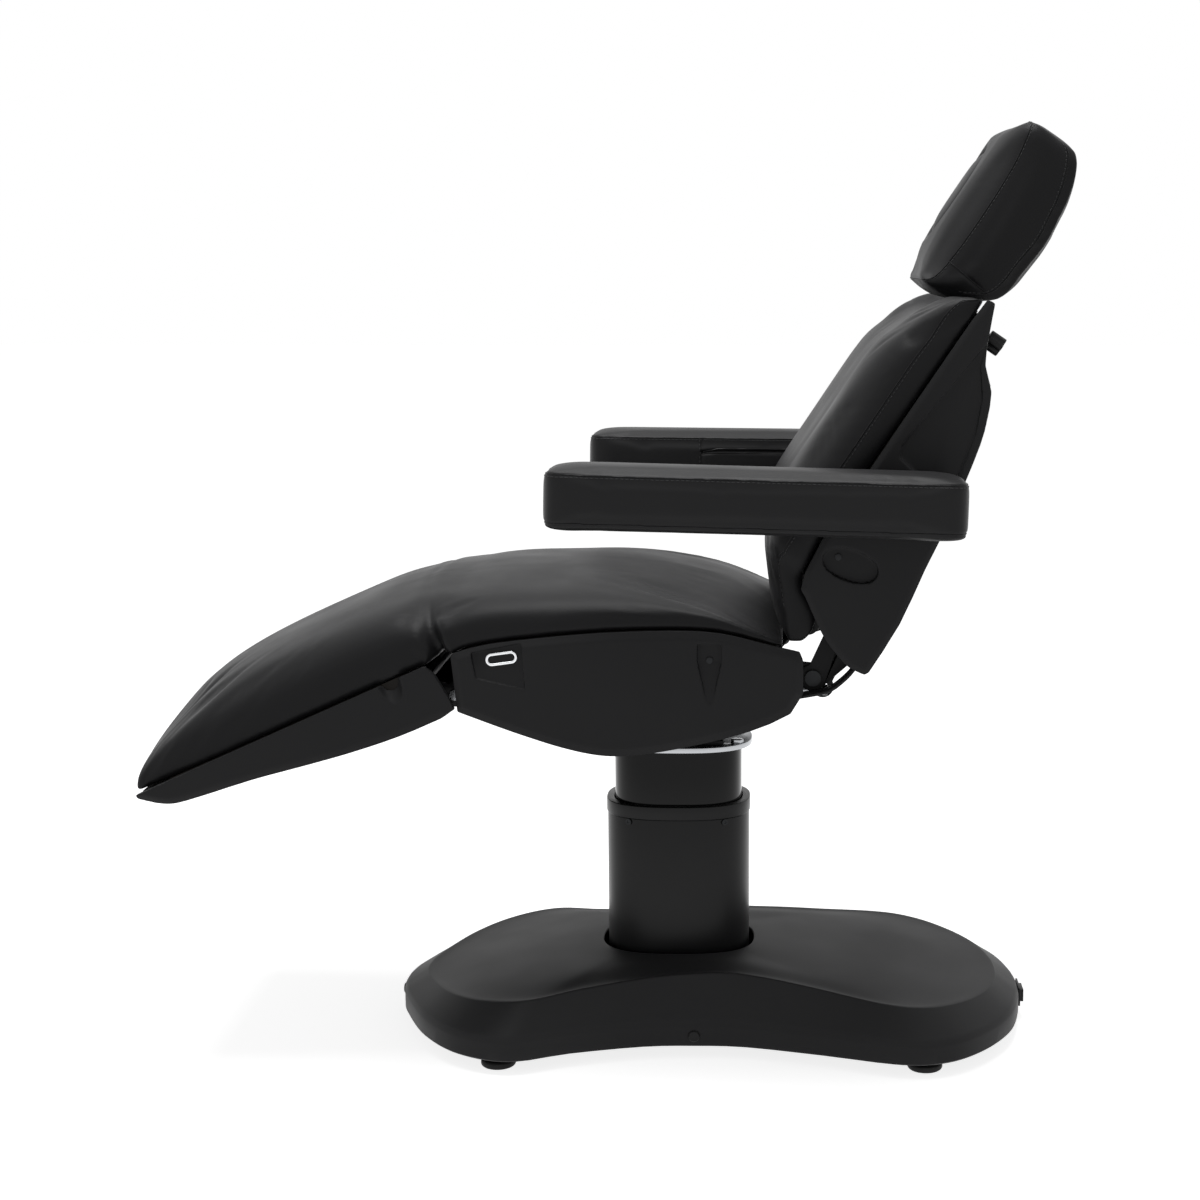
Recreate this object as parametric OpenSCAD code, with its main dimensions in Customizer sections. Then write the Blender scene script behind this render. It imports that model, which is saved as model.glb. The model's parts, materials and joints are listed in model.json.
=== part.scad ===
// Electric treatment chair: a column-lift couch with a tilting seat, a reclining back,
// a hinged leg rest, two turning armrests and a sliding, tilting headrest.
// Frame: +X towards the head end, +Z up, -Y the near long side.
// The origin is on the floor, under the middle of the whole length. Sizes along X are
// written from the lifting column's axis, and in_row() sets them in the frame.

/* [Overall] */
// Width over the seat's and the back's side panels
body_w = 606; // [560:1:640]
// Height of the leg rest's hinge above the floor
leg_hinge_z = 578; // [572:1:584]
// Distance of the leg rest's hinge in front of the column axis
leg_hinge_x = 328; // [322:1:334]
// Height of the back's pivot above the floor
back_pivot_z = 613; // [608:1:618]
// Distance of the back's pivot behind the seat panels' rear edge
back_pivot_out = 15; // [12:1:18]
// Slope of the leg rest below the horizontal at rest, in degrees
leg_slope = 24.3; // [20:0.1:26]
// Slope of the back above the horizontal at rest, in degrees
back_slope = 56; // [52:0.5:60]

/* [Base] */
// Length of the base cover
base_l = 1006; // [960:1:1060]
// Width of the base cover over its lobes
base_w = 570; // [540:1:600]
// Height of the base cover's top at the column
base_h = 132; // [124:1:140]
// Distance of the base cover's front end in front of the column axis
base_front = 451; // [430:1:470]
// Height of the cover's lower edge above the floor
base_clear = 22; // [18:1:26]
// Height of the cover's upright rim
rim_h = 33; // [28:1:38]
// Wall of the base cover
base_wall = 5; // [4:0.5:7]
// Thickness of the steel floor plate
plate_t = 8; // [6:1:10]
// Radius of a levelling foot's pad
foot_r = 27; // [22:1:32]
// Height of a levelling foot's pad
foot_h = 12; // [10:1:14]
// Distance of the feet from the base's sides
foot_side_in = 49; // [46:1:60]
// Distance of the front feet behind the base's front end
foot_front_in = 182; // [174:1:190]
// Distance of the rear feet before the base's rear end
foot_rear_in = 167; // [160:1:176]

/* [Column] */
// Width of the outer casing along the couch
casing_l = 229; // [220:1:236]
// Width of the outer casing across the couch
casing_w = 176; // [168:1:182]
// Wall of the outer casing
casing_wall = 4; // [3:0.5:5]
// Height of the casing's top above the floor, with its collar
casing_top = 371; // [360:1:380]
// Height of the casing's collar
collar_h = 22; // [18:1:26]
// How far the collar stands out over the casing
collar_out = 1.6; // [1:0.1:2.5]
// Width of the inner column along the couch
inner_l = 205; // [200:1:208]
// Width of the inner column across the couch
inner_w = 153; // [148:1:156]
// Wall of the inner column
inner_wall = 4; // [3:0.5:5]
// Height of the inner column's lower end above the floor
inner_low = 94; // [90:1:100]
// Height of the top flange's upper face above the floor
flange_z = 468; // [464:1:470]
// Thickness of the top flange
flange_t = 8; // [6:1:12]
// Width of the top flange along the couch
flange_l = 238; // [230:1:244]
// Width of the top flange across the couch
flange_w = 190; // [180:1:200]
// Gap between the casing and the hole in the base cover
casing_gap = 8; // [5:1:10]

/* [Seat] */
// Length of a seat side panel
seat_panel_l = 518; // [512:1:524]
// Depth of a seat side panel
seat_panel_h = 182; // [178:1:188]
// Height of the side panel's lowest point above the floor
seat_low_z = 509; // [505:1:512]
// Distance of the panel's front edge in front of the column axis
seat_front = 321; // [318:1:323]
// Thickness of the seat's side panels
seat_panel_t = 16; // [14:0.5:18]
// Height of the seat tilt axis above the floor
tilt_z = 530; // [526:1:534]
// Wall of the moulded covers
cover_wall = 4; // [3:0.5:5]
// How far the bottom cover bellies below the side panels
belly = 24; // [15:1:28]
// Radius of the cushion's fold about the leg hinge
fold_r = 155; // [152:1:158]

/* [Leg rest] */
// Length of the leg rest from its hinge to its tip
leg_l = 490; // [470:1:520]
// Height of the leg tray's rim over the hinge
leg_rim = 67; // [64:1:70]
// Depth of the leg tray below the hinge
leg_drop = 14; // [12:1:16]
// Thickness of the leg cushion over the tray's rim
leg_pad_h = 98; // [90:1:105]
// Thickness of the leg tray's side walls
leg_side_t = 12; // [10:0.5:14]

/* [Back] */
// Length of the back from its pivot to its top
back_l = 600; // [580:1:620]
// Distance of the side panels' front edge in front of the pivot line
back_front = 111; // [106:1:114]
// Distance of the shell's lower end behind the pivot line
back_rear = 70; // [66:1:74]
// Height of the back cushion's bolsters over the panels' front edge
back_pad_h = 84; // [76:1:90]
// How far the back cushion's middle lies below its bolsters
back_dish = 14; // [8:1:18]
// Thickness of the back's side panels
back_panel_t = 14; // [12:0.5:16]

/* [Headrest] */
// Width of the headrest
head_w = 300; // [280:1:320]
// Length of the headrest along its front
head_l = 284; // [270:1:296]
// Depth of the headrest between its rear and its front seam
head_t = 122; // [116:1:128]
// Length of the oval face opening
face_l = 158; // [140:1:164]
// Width of the oval face opening
face_w = 104; // [90:1:114]
// Depth of the removable face insert
face_d = 62; // [54:1:66]
// Distance of the headrest bars from the middle
bar_y = 58; // [50:1:62]
// Radius of a headrest bar
bar_r = 8; // [7:0.5:9]

/* [Armrests] */
// Length of an arm pad
arm_l = 593; // [560:1:610]
// Width of an arm pad
arm_w = 115; // [105:1:120]
// Height of an arm pad
arm_h = 88; // [82:1:94]
// Distance of the arm's pivot from the pad's rear end
arm_back = 96; // [88:1:104]
// Distance of the arm's pivot along the back, from the back's pivot
arm_along = 280; // [270:1:290]
// Distance of the arm's pivot in front of the back's pivot line
arm_front = 49; // [45:1:53]
// Gap between a side panel and an arm pad
arm_gap = 17; // [15:1:20]
// Upward slope of the near arm pad's front end, in degrees
arm_near_slope = 1.5; // [0:0.1:3]
// Upward slope of the far arm pad's front end, in degrees
arm_far_slope = 0.5; // [0:0.1:3]

/* [Hidden] */

$fn = 64;

// Shared clearances, finishes of edges and counts of facets
run_gap = 0.05;
soft_gap = 0.5;
gap = 1;
wide_gap = 3;
cut = 2;
pin_r = 8;
small_pin_r = 6;
screw_r = 5;
screw_h = 2;
round_n = 12;
half_turn = 180;
full_turn = 360;

// Half sizes that many pieces share, and the back's pivot behind the column axis
back_pivot_x = seat_panel_l - seat_front + back_pivot_out;
panel_y = body_w / 2;
seat_in_y = panel_y - seat_panel_t;
back_in_y = panel_y - back_panel_t;
pad_y = panel_y - wide_gap;

// Smooth curve through points: one Catmull-Rom span, then the whole open line
function span_at(a, b, c, d, t) =
    (2 * b + (c - a) * t + (2 * a - 5 * b + 4 * c - d) * t * t
     + (3 * b - a - 3 * c + d) * t * t * t) / 2;
function smooth(p, n = 4) = [
    for (i = [0 : len(p) - 2], k = [0 : n - 1])
        span_at(p[max(i - 1, 0)], p[i], p[i + 1], p[min(i + 2, len(p) - 1)], k / n),
    p[len(p) - 1]
];
// Points written as shares of a rectangle, at their real place
function placed(shares, low, size) =
    [for (s = shares) [low[0] + s[0] * size[0], low[1] + s[1] * size[1]]];
function flipped(p) = [for (i = [len(p) - 1 : -1 : 0]) p[i]];
// Superellipse, as the points of a plan
oval_power = 2.6;
function super_oval(l, w, power = oval_power, n = 72) = [
    for (i = [0 : n - 1]) let (a = full_turn * i / n, c = cos(a), s = sin(a))
        [sign(c) * pow(abs(c), 2 / power) * l / 2, sign(s) * pow(abs(s), 2 / power) * w / 2]
];

// Closed skin through rings of equal count; the end rings are closed by strips,
// each joining a point to its opposite number
module loft(rings) {
    n = len(rings[0]);
    m = len(rings);
    points = [for (r = rings) for (p = r) p];
    sides = [
        for (k = [0 : m - 2], i = [0 : n - 1]) let (a = k * n + i, b = k * n + (i + 1) % n)
            each [[a, b, b + n], [a, b + n, a + n]]
    ];
    function strips(o) = [
        for (i = [0 : floor(n / 2) - 1]) let (a = o + i, b = o + i + 1, c = o + n - 2 - i,
            d = o + n - 1 - i)
            each (b == c ? [[a, b, d]] : (b < c ? [[a, b, d], [b, c, d]] : []))
    ];
    last = (m - 1) * n;
    polyhedron(points, concat(sides, [for (f = strips(0)) [f[0], f[2], f[1]]], strips(last)));
}

// Skin through rings whose last ring joins the first
module ring_loft(rings) {
    n = len(rings[0]);
    m = len(rings);
    points = [for (r = rings) for (p = r) p];
    polyhedron(points, [
        for (k = [0 : m - 1], i = [0 : n - 1])
            let (a = k * n + i, b = k * n + (i + 1) % n, j = ((k + 1) % m) * n)
            each [[a, b, j + (i + 1) % n], [a, j + (i + 1) % n, j + i]]
    ]);
}

// Cross-section of a padded piece, as [y, height] pairs from the near lower edge over the top:
// boxy with round shoulders, sides drawn in at the foot, and a dished or crowned middle
pad_count = 24;
function pad_section(half_w, h, draw, dish, power = 4, n = pad_count) = [
    for (i = [0 : n]) let (
        a = half_turn * i / n,
        c = -sign(cos(a)) * pow(abs(cos(a)), 2 / power),
        s = pow(sin(a), 2 / power),
        w = half_w - draw * pow(1 - s, 2)
    ) [c * w, h * s - dish * pow(max(0, 1 - c * c * 1.5), 2) * s]
];
// A moulded skin along a path of [x, z] points, bellied out across its width
skin_count = 12;
skin_power = 2.4;
function path_normal(p, i) =
    let (a = p[max(i - 1, 0)], b = p[min(i + 1, len(p) - 1)], d = b - a) [d[1], -d[0]] / norm(d);
function skin_ring(c, n, half_w, bulge, t) = concat(
    [for (k = [0 : skin_count]) let (f = 2 * k / skin_count - 1, b = bulge * (1 - pow(abs(f), skin_power)))
        [c[0] + n[0] * b, f * half_w, c[1] + n[1] * b]],
    [for (k = [skin_count : -1 : 0]) let (f = 2 * k / skin_count - 1,
        b = bulge * (1 - pow(abs(f), skin_power)) - t)
        [c[0] + n[0] * b, f * half_w, c[1] + n[1] * b]]
);
module skin(path, bulges, half_w, t) {
    loft([for (i = [0 : len(path) - 1]) skin_ring(path[i], path_normal(path, i), half_w, bulges[i], t)]);
}

// An outline in the XZ plane, made solid between two distances across the couch
module slab(outline, y0, y1) {
    translate([0, y1, 0]) rotate([90, 0, 0]) linear_extrude(y1 - y0) polygon(outline);
}
// A round bar across the couch
module cross_bar(x, z, r, y0, y1) {
    translate([x, y1, z]) rotate([90, 0, 0]) cylinder(h = y1 - y0, r = r);
}
module cross_tube(x, z, r, bore, y0, y1) {
    difference() {
        cross_bar(x, z, r, y0, y1);
        cross_bar(x, z, bore, y0 - cut, y1 + cut);
    }
}
// A box between two corners
module box(low, high) {
    translate(low) cube(high - low);
}
// A rectangular tube between two corners, open along X
module x_tube(low, high, wall) {
    difference() {
        box(low, high);
        box(low + [-cut, wall, wall], high + [cut, -wall, -wall]);
    }
}
module y_tube(low, high, wall) {
    difference() {
        box(low, high);
        box(low + [wall, -cut, wall], high + [-wall, cut, -wall]);
    }
}
module both_sides() {
    children();
    mirror([0, 1, 0]) children();
}

// The column's axis stands behind the origin
column_x = 100;
module in_row() {
    translate([column_x, 0, 0]) children();
}
// The leg rest's own frame: its hinge is the origin and -X runs to its tip
module leg_placed() {
    translate([-leg_hinge_x, 0, leg_hinge_z]) rotate([0, -leg_slope, 0]) children();
}
// The back's own frame: its pivot is the origin, +X runs to its top and +Z to the sitter
module back_placed() {
    translate([back_pivot_x, 0, back_pivot_z]) rotate([0, -back_slope, 0]) children();
}

// Base: plan shares run from the front end to the rear end, with the half width beside each
base_plan_shares = [
    [0, 0], [0.002, 0.1], [0.014, 0.27], [0.058, 0.63], [0.12, 0.89], [0.2, 1], [0.289, 0.87], [0.4, 0.76],
    [0.48, 0.74], [0.56, 0.755], [0.68, 0.87], [0.8, 1], [0.87, 0.96], [0.93, 0.77], [0.975, 0.5],
    [0.996, 0.2], [1, 0]
];
// Height of the plateau's edge along the base, as shares of the cover's height
base_crest_shares = [[0, 0.57], [0.1, 0.68], [0.22, 0.78], [0.48, 0.95], [0.6, 0.93], [0.8, 0.75],
    [1, 0.6]];
base_half_plan = smooth(base_plan_shares, 3);
base_size = [base_l, base_w / 2];
base_low = [-base_front, 0];
// Insets of the plateau's edge from the rim
crest_inset_x = 42;
crest_inset_share = 0.965;
rim_round = 6;
dome_rise = 5;
hole_l = casing_l + 2 * casing_gap;
hole_w = casing_w + 2 * casing_gap;
base_n = 2 * (len(base_half_plan) - 1);
rim_z = base_clear + rim_h;

// A closed plan ring: near side from front to rear, then the far side back
function base_ring(inset, side_share, z) = concat(
    [for (i = [0 : len(base_half_plan) - 2]) let (p = base_half_plan[i])
        [base_x(p[0], inset), -p[1] * side_share * (base_w / 2 - inset), base_z(p[0], z)]],
    [for (i = [len(base_half_plan) - 1 : -1 : 1]) let (p = base_half_plan[i])
        [base_x(p[0], inset), p[1] * side_share * (base_w / 2 - inset), base_z(p[0], z)]]
);
function base_x(s, inset) = -base_front + inset + s * (base_l - 2 * inset);
// A height, or below zero a drop from the plateau's edge
function base_z(s, z) = z > 0 ? z : lookup(s, base_crest_shares) * base_h + z;
// The hole's ring follows the directions of the plan's own points
function hole_ring(outer, l, w, z) = [
    for (p = outer) let (a = atan2(p[1] / w, p[0] / l), c = cos(a), s = sin(a))
        [sign(c) * pow(abs(c), 2 / oval_power) * l / 2, sign(s) * pow(abs(s), 2 / oval_power) * w / 2, z]
];
function ring_between(a, b, t, rise) =
    [for (i = [0 : len(a) - 1]) a[i] + (b[i] - a[i]) * t + [0, 0, rise]];

module base_cover() {
    crest = base_ring(crest_inset_x, crest_inset_share, -gap);
    rim = base_ring(0, 1, rim_z);
    hole = hole_ring(crest, hole_l, hole_w, base_h);
    foot_in = base_ring(base_wall, 1, base_clear);
    rim_in = base_ring(base_wall, 1, rim_z - base_wall / 2);
    crest_in = base_ring(crest_inset_x, crest_inset_share, -base_wall - gap);
    hole_in = hole_ring(crest, hole_l, hole_w, base_h - base_wall);
    color("#2b2b2b") in_row() ring_loft([
        foot_in,
        base_ring(rim_round / 2, 1, base_clear),
        base_ring(0, 1, base_clear + rim_round / 2),
        base_ring(0, 1, rim_z - rim_round),
        base_ring(rim_round / 2, 1, rim_z),
        ring_between(rim, crest, 0.5, dome_rise / 2),
        ring_between(rim, crest, 0.9, dome_rise),
        ring_between(crest, hole, 0.06, dome_rise / 2),
        ring_between(crest, hole, 0.5, dome_rise),
        hole,
        hole_in,
        ring_between(crest_in, hole_in, 0.5, 0),
        crest_in,
        rim_in
    ]);
}
// The floor plate follows the cover's plan inside its wall
plate_inset = base_wall + gap / 2;
plate_low = base_clear - gap;
module base_plate() {
    color("#1c1c1c") in_row() {
        difference() {
            translate([0, 0, plate_low]) linear_extrude(plate_t)
                polygon([for (p = base_ring(plate_inset, 1, base_clear)) [p[0], p[1]]]);
            foot_places() cylinder(h = base_h, r = foot_stud_r + run_gap);
        }
        foot_places() translate([0, 0, plate_low + plate_t]) difference() {
            cylinder(h = foot_nut_h, r = 2 * foot_stud_r);
            translate([0, 0, -cut]) cylinder(h = foot_nut_h + 2 * cut, r = foot_stud_r + run_gap);
        }
    }
}
foot_y = base_w / 2 - foot_side_in;
foot_stud_r = 6;
foot_nut_h = 12;
foot_neck_r = 16;
module foot_places() {
    for (x = [foot_front_in, base_l - foot_rear_in], y = [-foot_y, foot_y])
        translate([x - base_front, y, 0]) children();
}
module levelling_feet() {
    color("#141414") in_row() foot_places() {
        rotate_extrude() polygon([
            [0, 0], [foot_r - foot_h / 4, 0], [foot_r, foot_h / 4], [foot_r, foot_h - foot_h / 4],
            [foot_r - foot_h / 4, foot_h], [foot_neck_r, foot_h], [foot_neck_r, plate_low - gap],
            [foot_stud_r, plate_low - gap], [foot_stud_r, plate_low + plate_t + foot_nut_h],
                [0, plate_low + plate_t + foot_nut_h]
        ]);
    }
}
// Round caps in the rim: one at the waist on each side, one at the front end
cap_r = 9;
cap_h = 4;
cap_z = rim_z - rim_h / 2;
waist_share = 0.48;
waist_half = base_w / 2 * lookup(waist_share, base_half_plan);
module cap() {
    rotate_extrude() polygon([[0, 0], [cap_r, 0], [cap_r, cap_h / 2], [cap_r - cap_h / 2, cap_h],
        [0, cap_h]]);
}
module cover_caps() {
    color("#101010") in_row() {
        both_sides() translate([waist_share * base_l - base_front, -waist_half - gap / 3, cap_z])
            rotate([90, 0, 0]) cap();
        translate([-base_front - gap / 4, 0, cap_z]) rotate([0, -90, 0]) cap();
    }
}
// Mains inlet at the rear end: a flange, a shrouded socket and its three pins
inlet_w = 50;
inlet_h = 30;
inlet_t = 3;
inlet_out = 9;
inlet_wall = 3;
inlet_pin_w = 2;
inlet_pin_h = 4;
inlet_pin_pitch = 7;
module power_inlet() {
    x = base_l - base_front + gap / 4;
    color("#111111") in_row() translate([x, 0, cap_z]) {
        difference() {
            union() {
                box([0, -inlet_w / 2, -inlet_h / 2], [inlet_t, inlet_w / 2, inlet_h / 2]);
                box([0, -inlet_w / 3, -inlet_h / 3], [inlet_out, inlet_w / 3, inlet_h / 3]);
            }
            box([inlet_t / 2, inlet_wall - inlet_w / 3, inlet_wall - inlet_h / 3],
                [inlet_out + cut, inlet_w / 3 - inlet_wall, inlet_h / 3 - inlet_wall]);
        }
        for (k = [-1 : 1])
            translate([inlet_t / 2, k * inlet_pin_pitch - inlet_pin_w / 2,
                (k == 0 ? 0 : -inlet_pin_h / 2) - inlet_pin_h / 2])
            cube([inlet_out - inlet_t, inlet_pin_w, inlet_pin_h]);
    }
}
// Motor control box on the floor plate
box_start_share = 0.262;
box_end_share = 0.694;
box_room = base_l - base_front - casing_l / 2;
box_l = (box_end_share - box_start_share) * box_room;
box_w = 120;
box_h = 38;
box_x = casing_l / 2 + box_start_share * box_room;
module control_box() {
    color("#30343a") in_row() translate([box_x, -box_w / 2, plate_low + plate_t]) {
        difference() {
            cube([box_l, box_w, box_h]);
            translate([cover_wall, cover_wall, cover_wall])
                cube([box_l - 2 * cover_wall, box_w - 2 * cover_wall, box_h]);
        }
        translate([cover_wall, cover_wall, box_h - cover_wall])
            cube([box_l - 2 * cover_wall, box_w - 2 * cover_wall, cover_wall]);
    }
}

// Column
casing_low = plate_low + plate_t;
casing_h = casing_top - collar_h - casing_low;
module oval_tube(l, w, wall, h) {
    linear_extrude(h) difference() {
        polygon(super_oval(l, w));
        polygon(super_oval(l - 2 * wall, w - 2 * wall));
    }
}
module column_casing() {
    color("#202020") in_row() translate([0, 0, casing_low])
        oval_tube(casing_l, casing_w, casing_wall, casing_h);
}
// The collar sits on the casing and closes it down to the inner column
collar_gap = 1.2;
collar_lap = 10;
module casing_collar() {
    top = casing_low + casing_h;
    color("#262626") in_row() {
        translate([0, 0, top]) linear_extrude(collar_h) difference() {
            polygon(super_oval(casing_l + 2 * collar_out, casing_w + 2 * collar_out));
            polygon(super_oval(inner_l + 2 * collar_gap, inner_w + 2 * collar_gap));
        }
        translate([0, 0, top - collar_lap]) linear_extrude(collar_lap) difference() {
            polygon(super_oval(casing_l - 2 * casing_wall - gap / 2, casing_w - 2 * casing_wall - gap / 2));
            polygon(super_oval(inner_l + 2 * collar_gap, inner_w + 2 * collar_gap));
        }
    }
}
// Screws through the casing into the collar's skirt
collar_screw_x = 76;
collar_screw_z = casing_low + casing_h - collar_lap / 2;
casing_face_y = casing_w / 2 * pow(1 - pow(2 * collar_screw_x / casing_l, oval_power), 1 / oval_power);
casing_lean = atan2(pow(2 * collar_screw_x / casing_l, oval_power - 1) / casing_l,
                    pow(2 * casing_face_y / casing_w, oval_power - 1) / casing_w);
module collar_screws() {
    color("#5a5a5a") in_row() both_sides() for (side = [-1, 1])
        translate([side * collar_screw_x, -casing_face_y, collar_screw_z])
            rotate([90, 0, side * casing_lean]) translate([0, 0, gap / 3]) difference() {
            cylinder(h = screw_h, r = screw_r);
            translate([0, 0, screw_h / 2]) cylinder(h = screw_h, r = screw_r / 2, $fn = 6);
        }
}
// Nylon guides fixed in the casing, on which the inner column slides
guide_h = 40;
guide_drop = 8;
guide_z = casing_low + casing_h - collar_lap - guide_drop - guide_h;
guide_gap = 0.4;
module column_guides() {
    color("#d8d8d0") in_row() translate([0, 0, guide_z]) difference() {
        linear_extrude(guide_h) difference() {
            polygon(super_oval(casing_l - 2 * casing_wall - guide_gap,
                casing_w - 2 * casing_wall - guide_gap));
            polygon(super_oval(inner_l + guide_gap, inner_w + guide_gap));
        }
        for (a = [0, 90]) rotate([0, 0, a]) translate([-casing_l, -guide_h / 2, -cut])
            cube([2 * casing_l, guide_h, guide_h + 2 * cut]);
    }
}
// Lift actuator: a motor foot and an outer tube on the floor plate, a rod in the tube
lift_tube_r = 24;
lift_bore_r = 16;
lift_tube_h = 340;
lift_foot_r = 44;
lift_foot_h = 46;
lift_rod_clear = 66;
module lift_actuator() {
    color("#3a3a3c") in_row() translate([0, 0, casing_low]) {
        difference() {
            union() {
                cylinder(h = lift_foot_h, r = lift_foot_r);
                cylinder(h = lift_tube_h, r = lift_tube_r);
            }
            translate([0, 0, lift_foot_h]) cylinder(h = lift_tube_h, r = lift_bore_r);
        }
    }
}
lift_rod_low = casing_low + lift_foot_h + lift_rod_clear;
module lift_rod() {
    color("#b8b8b8") in_row() translate([0, 0, lift_rod_low])
        cylinder(h = flange_z - flange_t - lift_rod_low, r = lift_bore_r - run_gap);
}
module inner_column() {
    color("#050505") in_row() translate([0, 0, inner_low])
        oval_tube(inner_l, inner_w, inner_wall, flange_z - flange_t - inner_low);
}
flange_bolt_x = 96;
flange_bolt_y = 50;
flange_bolt_r = 6;
bolt_head_share = 1.7;
module flange_bolt_places() {
    for (x = [-flange_bolt_x, flange_bolt_x], y = [-flange_bolt_y, flange_bolt_y]) translate([x, y, 0])
        children();
}
module column_flange() {
    color("#b9bcc0") in_row() difference() {
        translate([0, 0, flange_z - flange_t]) linear_extrude(flange_t)
            polygon(super_oval(flange_l, flange_w));
        flange_bolt_places() translate([0, 0, flange_z - 2 * flange_t])
            cylinder(h = 3 * flange_t, r = flange_bolt_r + run_gap);
    }
}
bracket_t = 10;
bracket_l = 150;
ear_y = 62;
ear_r = 26;
module flange_bolts() {
    color("#8c8c8c") in_row() flange_bolt_places() {
        translate([0, 0, flange_z]) cylinder(h = flange_bolt_r, r = bolt_head_share * flange_bolt_r,
            $fn = 6);
        translate([0, 0, flange_z - flange_t]) cylinder(h = flange_t, r = flange_bolt_r);
    }
}
// Two ears on the flange carry the tilt pin
bracket_foot_t = 8;
module tilt_bracket() {
    color("#4a4c4f") in_row() {
        box([-bracket_l / 2, -ear_y - bracket_t, flange_z],
            [bracket_l / 2, ear_y + bracket_t, flange_z + bracket_foot_t]);
        both_sides() difference() {
            union() {
                cross_bar(0, tilt_z, ear_r, ear_y, ear_y + bracket_t);
                slab([[-bracket_l / 3, flange_z], [bracket_l / 3, flange_z], [ear_r, tilt_z],
                    [-ear_r, tilt_z]], ear_y, ear_y + bracket_t);
            }
            cross_bar(0, tilt_z, pin_r + run_gap, ear_y - cut, ear_y + bracket_t + cut);
        }
    }
}

// Seat: the side panels' outline, as shares of their length and depth
seat_top_shares = [[0, 0.8], [0.06, 0.855], [0.145, 0.9], [0.285, 0.945], [0.43, 0.98], [0.62, 1],
    [0.765, 0.98], [0.905, 0.885], [0.99, 0.83]];
seat_rear_shares = [[1, 0.76], [1, 0.49], [0.965, 0.325]];
seat_under_shares = [[0.907, 0.24], [0.822, 0.152], [0.7, 0.064], [0.565, -0.01], [0.47, -0.034],
    [0.394, -0.016], [0.309, 0.04], [0.224, 0.116], [0.139, 0.2], [0.017, 0.33]];
seat_low = [-seat_front, seat_low_z];
seat_size = [seat_panel_l, seat_panel_h];
seat_top = smooth(placed(seat_top_shares, seat_low, seat_size), 3);
seat_under = smooth(placed(seat_under_shares, seat_low, seat_size), 3);
seat_outline = concat(seat_top, placed(seat_rear_shares, seat_low, seat_size), seat_under);
function seat_rim_z(x) = lookup(x, seat_top);
function seat_under_z(x) = lookup(x, flipped(seat_under));

// Frame of the seat: two rails, cross tubes, and ears for its three hinges
rail_end = 23;
rail_in = 190;
rail_out = 230;
rail_low = 610;
rail_top = 640;
rail_wall = 3;
rail_front = 290;
rail_rear = back_pivot_x - 2 * rail_end;
strap_t = 8;
tilt_ear_y = ear_y + bracket_t + cut;
tilt_plate_l = 60;
cross_a = 92;
cross_c = back_pivot_x - 4 * rail_end;
cross_l = 30;
strap_x = 285;
leg_ear_y = 198;
leg_ear_t = 8;
leg_ear_r = 18;
back_ear_t = 10;
back_ear_r = 20;
riser_l = 20;
board_t = 12;
module seat_frame() {
    color("#2a2c2e") in_row() {
        both_sides() {
            x_tube([-rail_front, rail_in, rail_low], [rail_rear, rail_out, rail_top], rail_wall);
            // Ears of the tilt axis
            difference() {
                union() {
                    cross_bar(0, tilt_z, ear_r, tilt_ear_y, tilt_ear_y + bracket_t);
                    slab([[-ear_r, tilt_z], [ear_r, tilt_z], [2 * ear_r, rail_low - strap_t],
                        [-2 * ear_r, rail_low - strap_t]],
                         tilt_ear_y, tilt_ear_y + bracket_t);
                }
                cross_bar(0, tilt_z, pin_r + run_gap, tilt_ear_y - cut, tilt_ear_y + bracket_t + cut);
            }
            // Ears of the leg rest's hinge
            difference() {
                union() {
                    cross_bar(-leg_hinge_x, leg_hinge_z, leg_ear_r, leg_ear_y, leg_ear_y + leg_ear_t);
                    slab([[-leg_hinge_x - leg_ear_r / 2, leg_hinge_z + leg_ear_r / 2],
                        [-leg_hinge_x + leg_ear_r / 2, leg_hinge_z - leg_ear_r / 2],
                          [cross_l - rail_front, rail_low], [cross_l - rail_front, rail_top],
                              [-rail_front, rail_top]],
                         leg_ear_y, leg_ear_y + leg_ear_t);
                }
                cross_bar(-leg_hinge_x, leg_hinge_z, pin_r + run_gap, leg_ear_y - cut,
                    leg_ear_y + leg_ear_t + cut);
            }
            // Ears of the back's pivot, on the rails' outer faces
            difference() {
                union() {
                    cross_bar(back_pivot_x, back_pivot_z, back_ear_r, rail_out, rail_out + back_ear_t);
                    slab([[back_pivot_x, back_pivot_z - back_ear_r],
                        [back_pivot_x, back_pivot_z + back_ear_r],
                          [rail_rear - cross_l, rail_top], [rail_rear - 2 * cross_l, rail_top],
                              [rail_rear - 2 * cross_l, rail_low]],
                         rail_out, rail_out + back_ear_t);
                }
                cross_bar(back_pivot_x, back_pivot_z, pin_r + run_gap, rail_out - cut,
                    rail_out + back_ear_t + cut);
            }
        }
        box([-tilt_plate_l, -rail_out, rail_low - strap_t], [tilt_plate_l, rail_out, rail_low]);
        y_tube([-cross_a, -rail_in, rail_low], [cross_l - cross_a, rail_in, rail_top], rail_wall);
        y_tube([cross_c, -rail_in, rail_low], [cross_c + cross_l, rail_in, rail_top], rail_wall);
        box([-strap_x, -rail_out, rail_top], [cross_l - strap_x, rail_out, rail_top + strap_t]);
        // Risers carry the board where it is crowned
        for (x = [-cross_a, tilt_plate_l - riser_l, cross_c])
            box([x, -rail_out, rail_top], [x + riser_l, rail_out,
                min(seat_rim_z(x), seat_rim_z(x + riser_l)) - board_t - gap]);
    }
}
module tilt_pin() {
    color("#a8a8a8") in_row() {
        cross_bar(0, tilt_z, pin_r, -tilt_ear_y - bracket_t, tilt_ear_y + bracket_t);
        both_sides() cross_bar(0, tilt_z, 1.5 * pin_r, tilt_ear_y + bracket_t,
            tilt_ear_y + bracket_t + screw_h * 2);
    }
}
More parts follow.
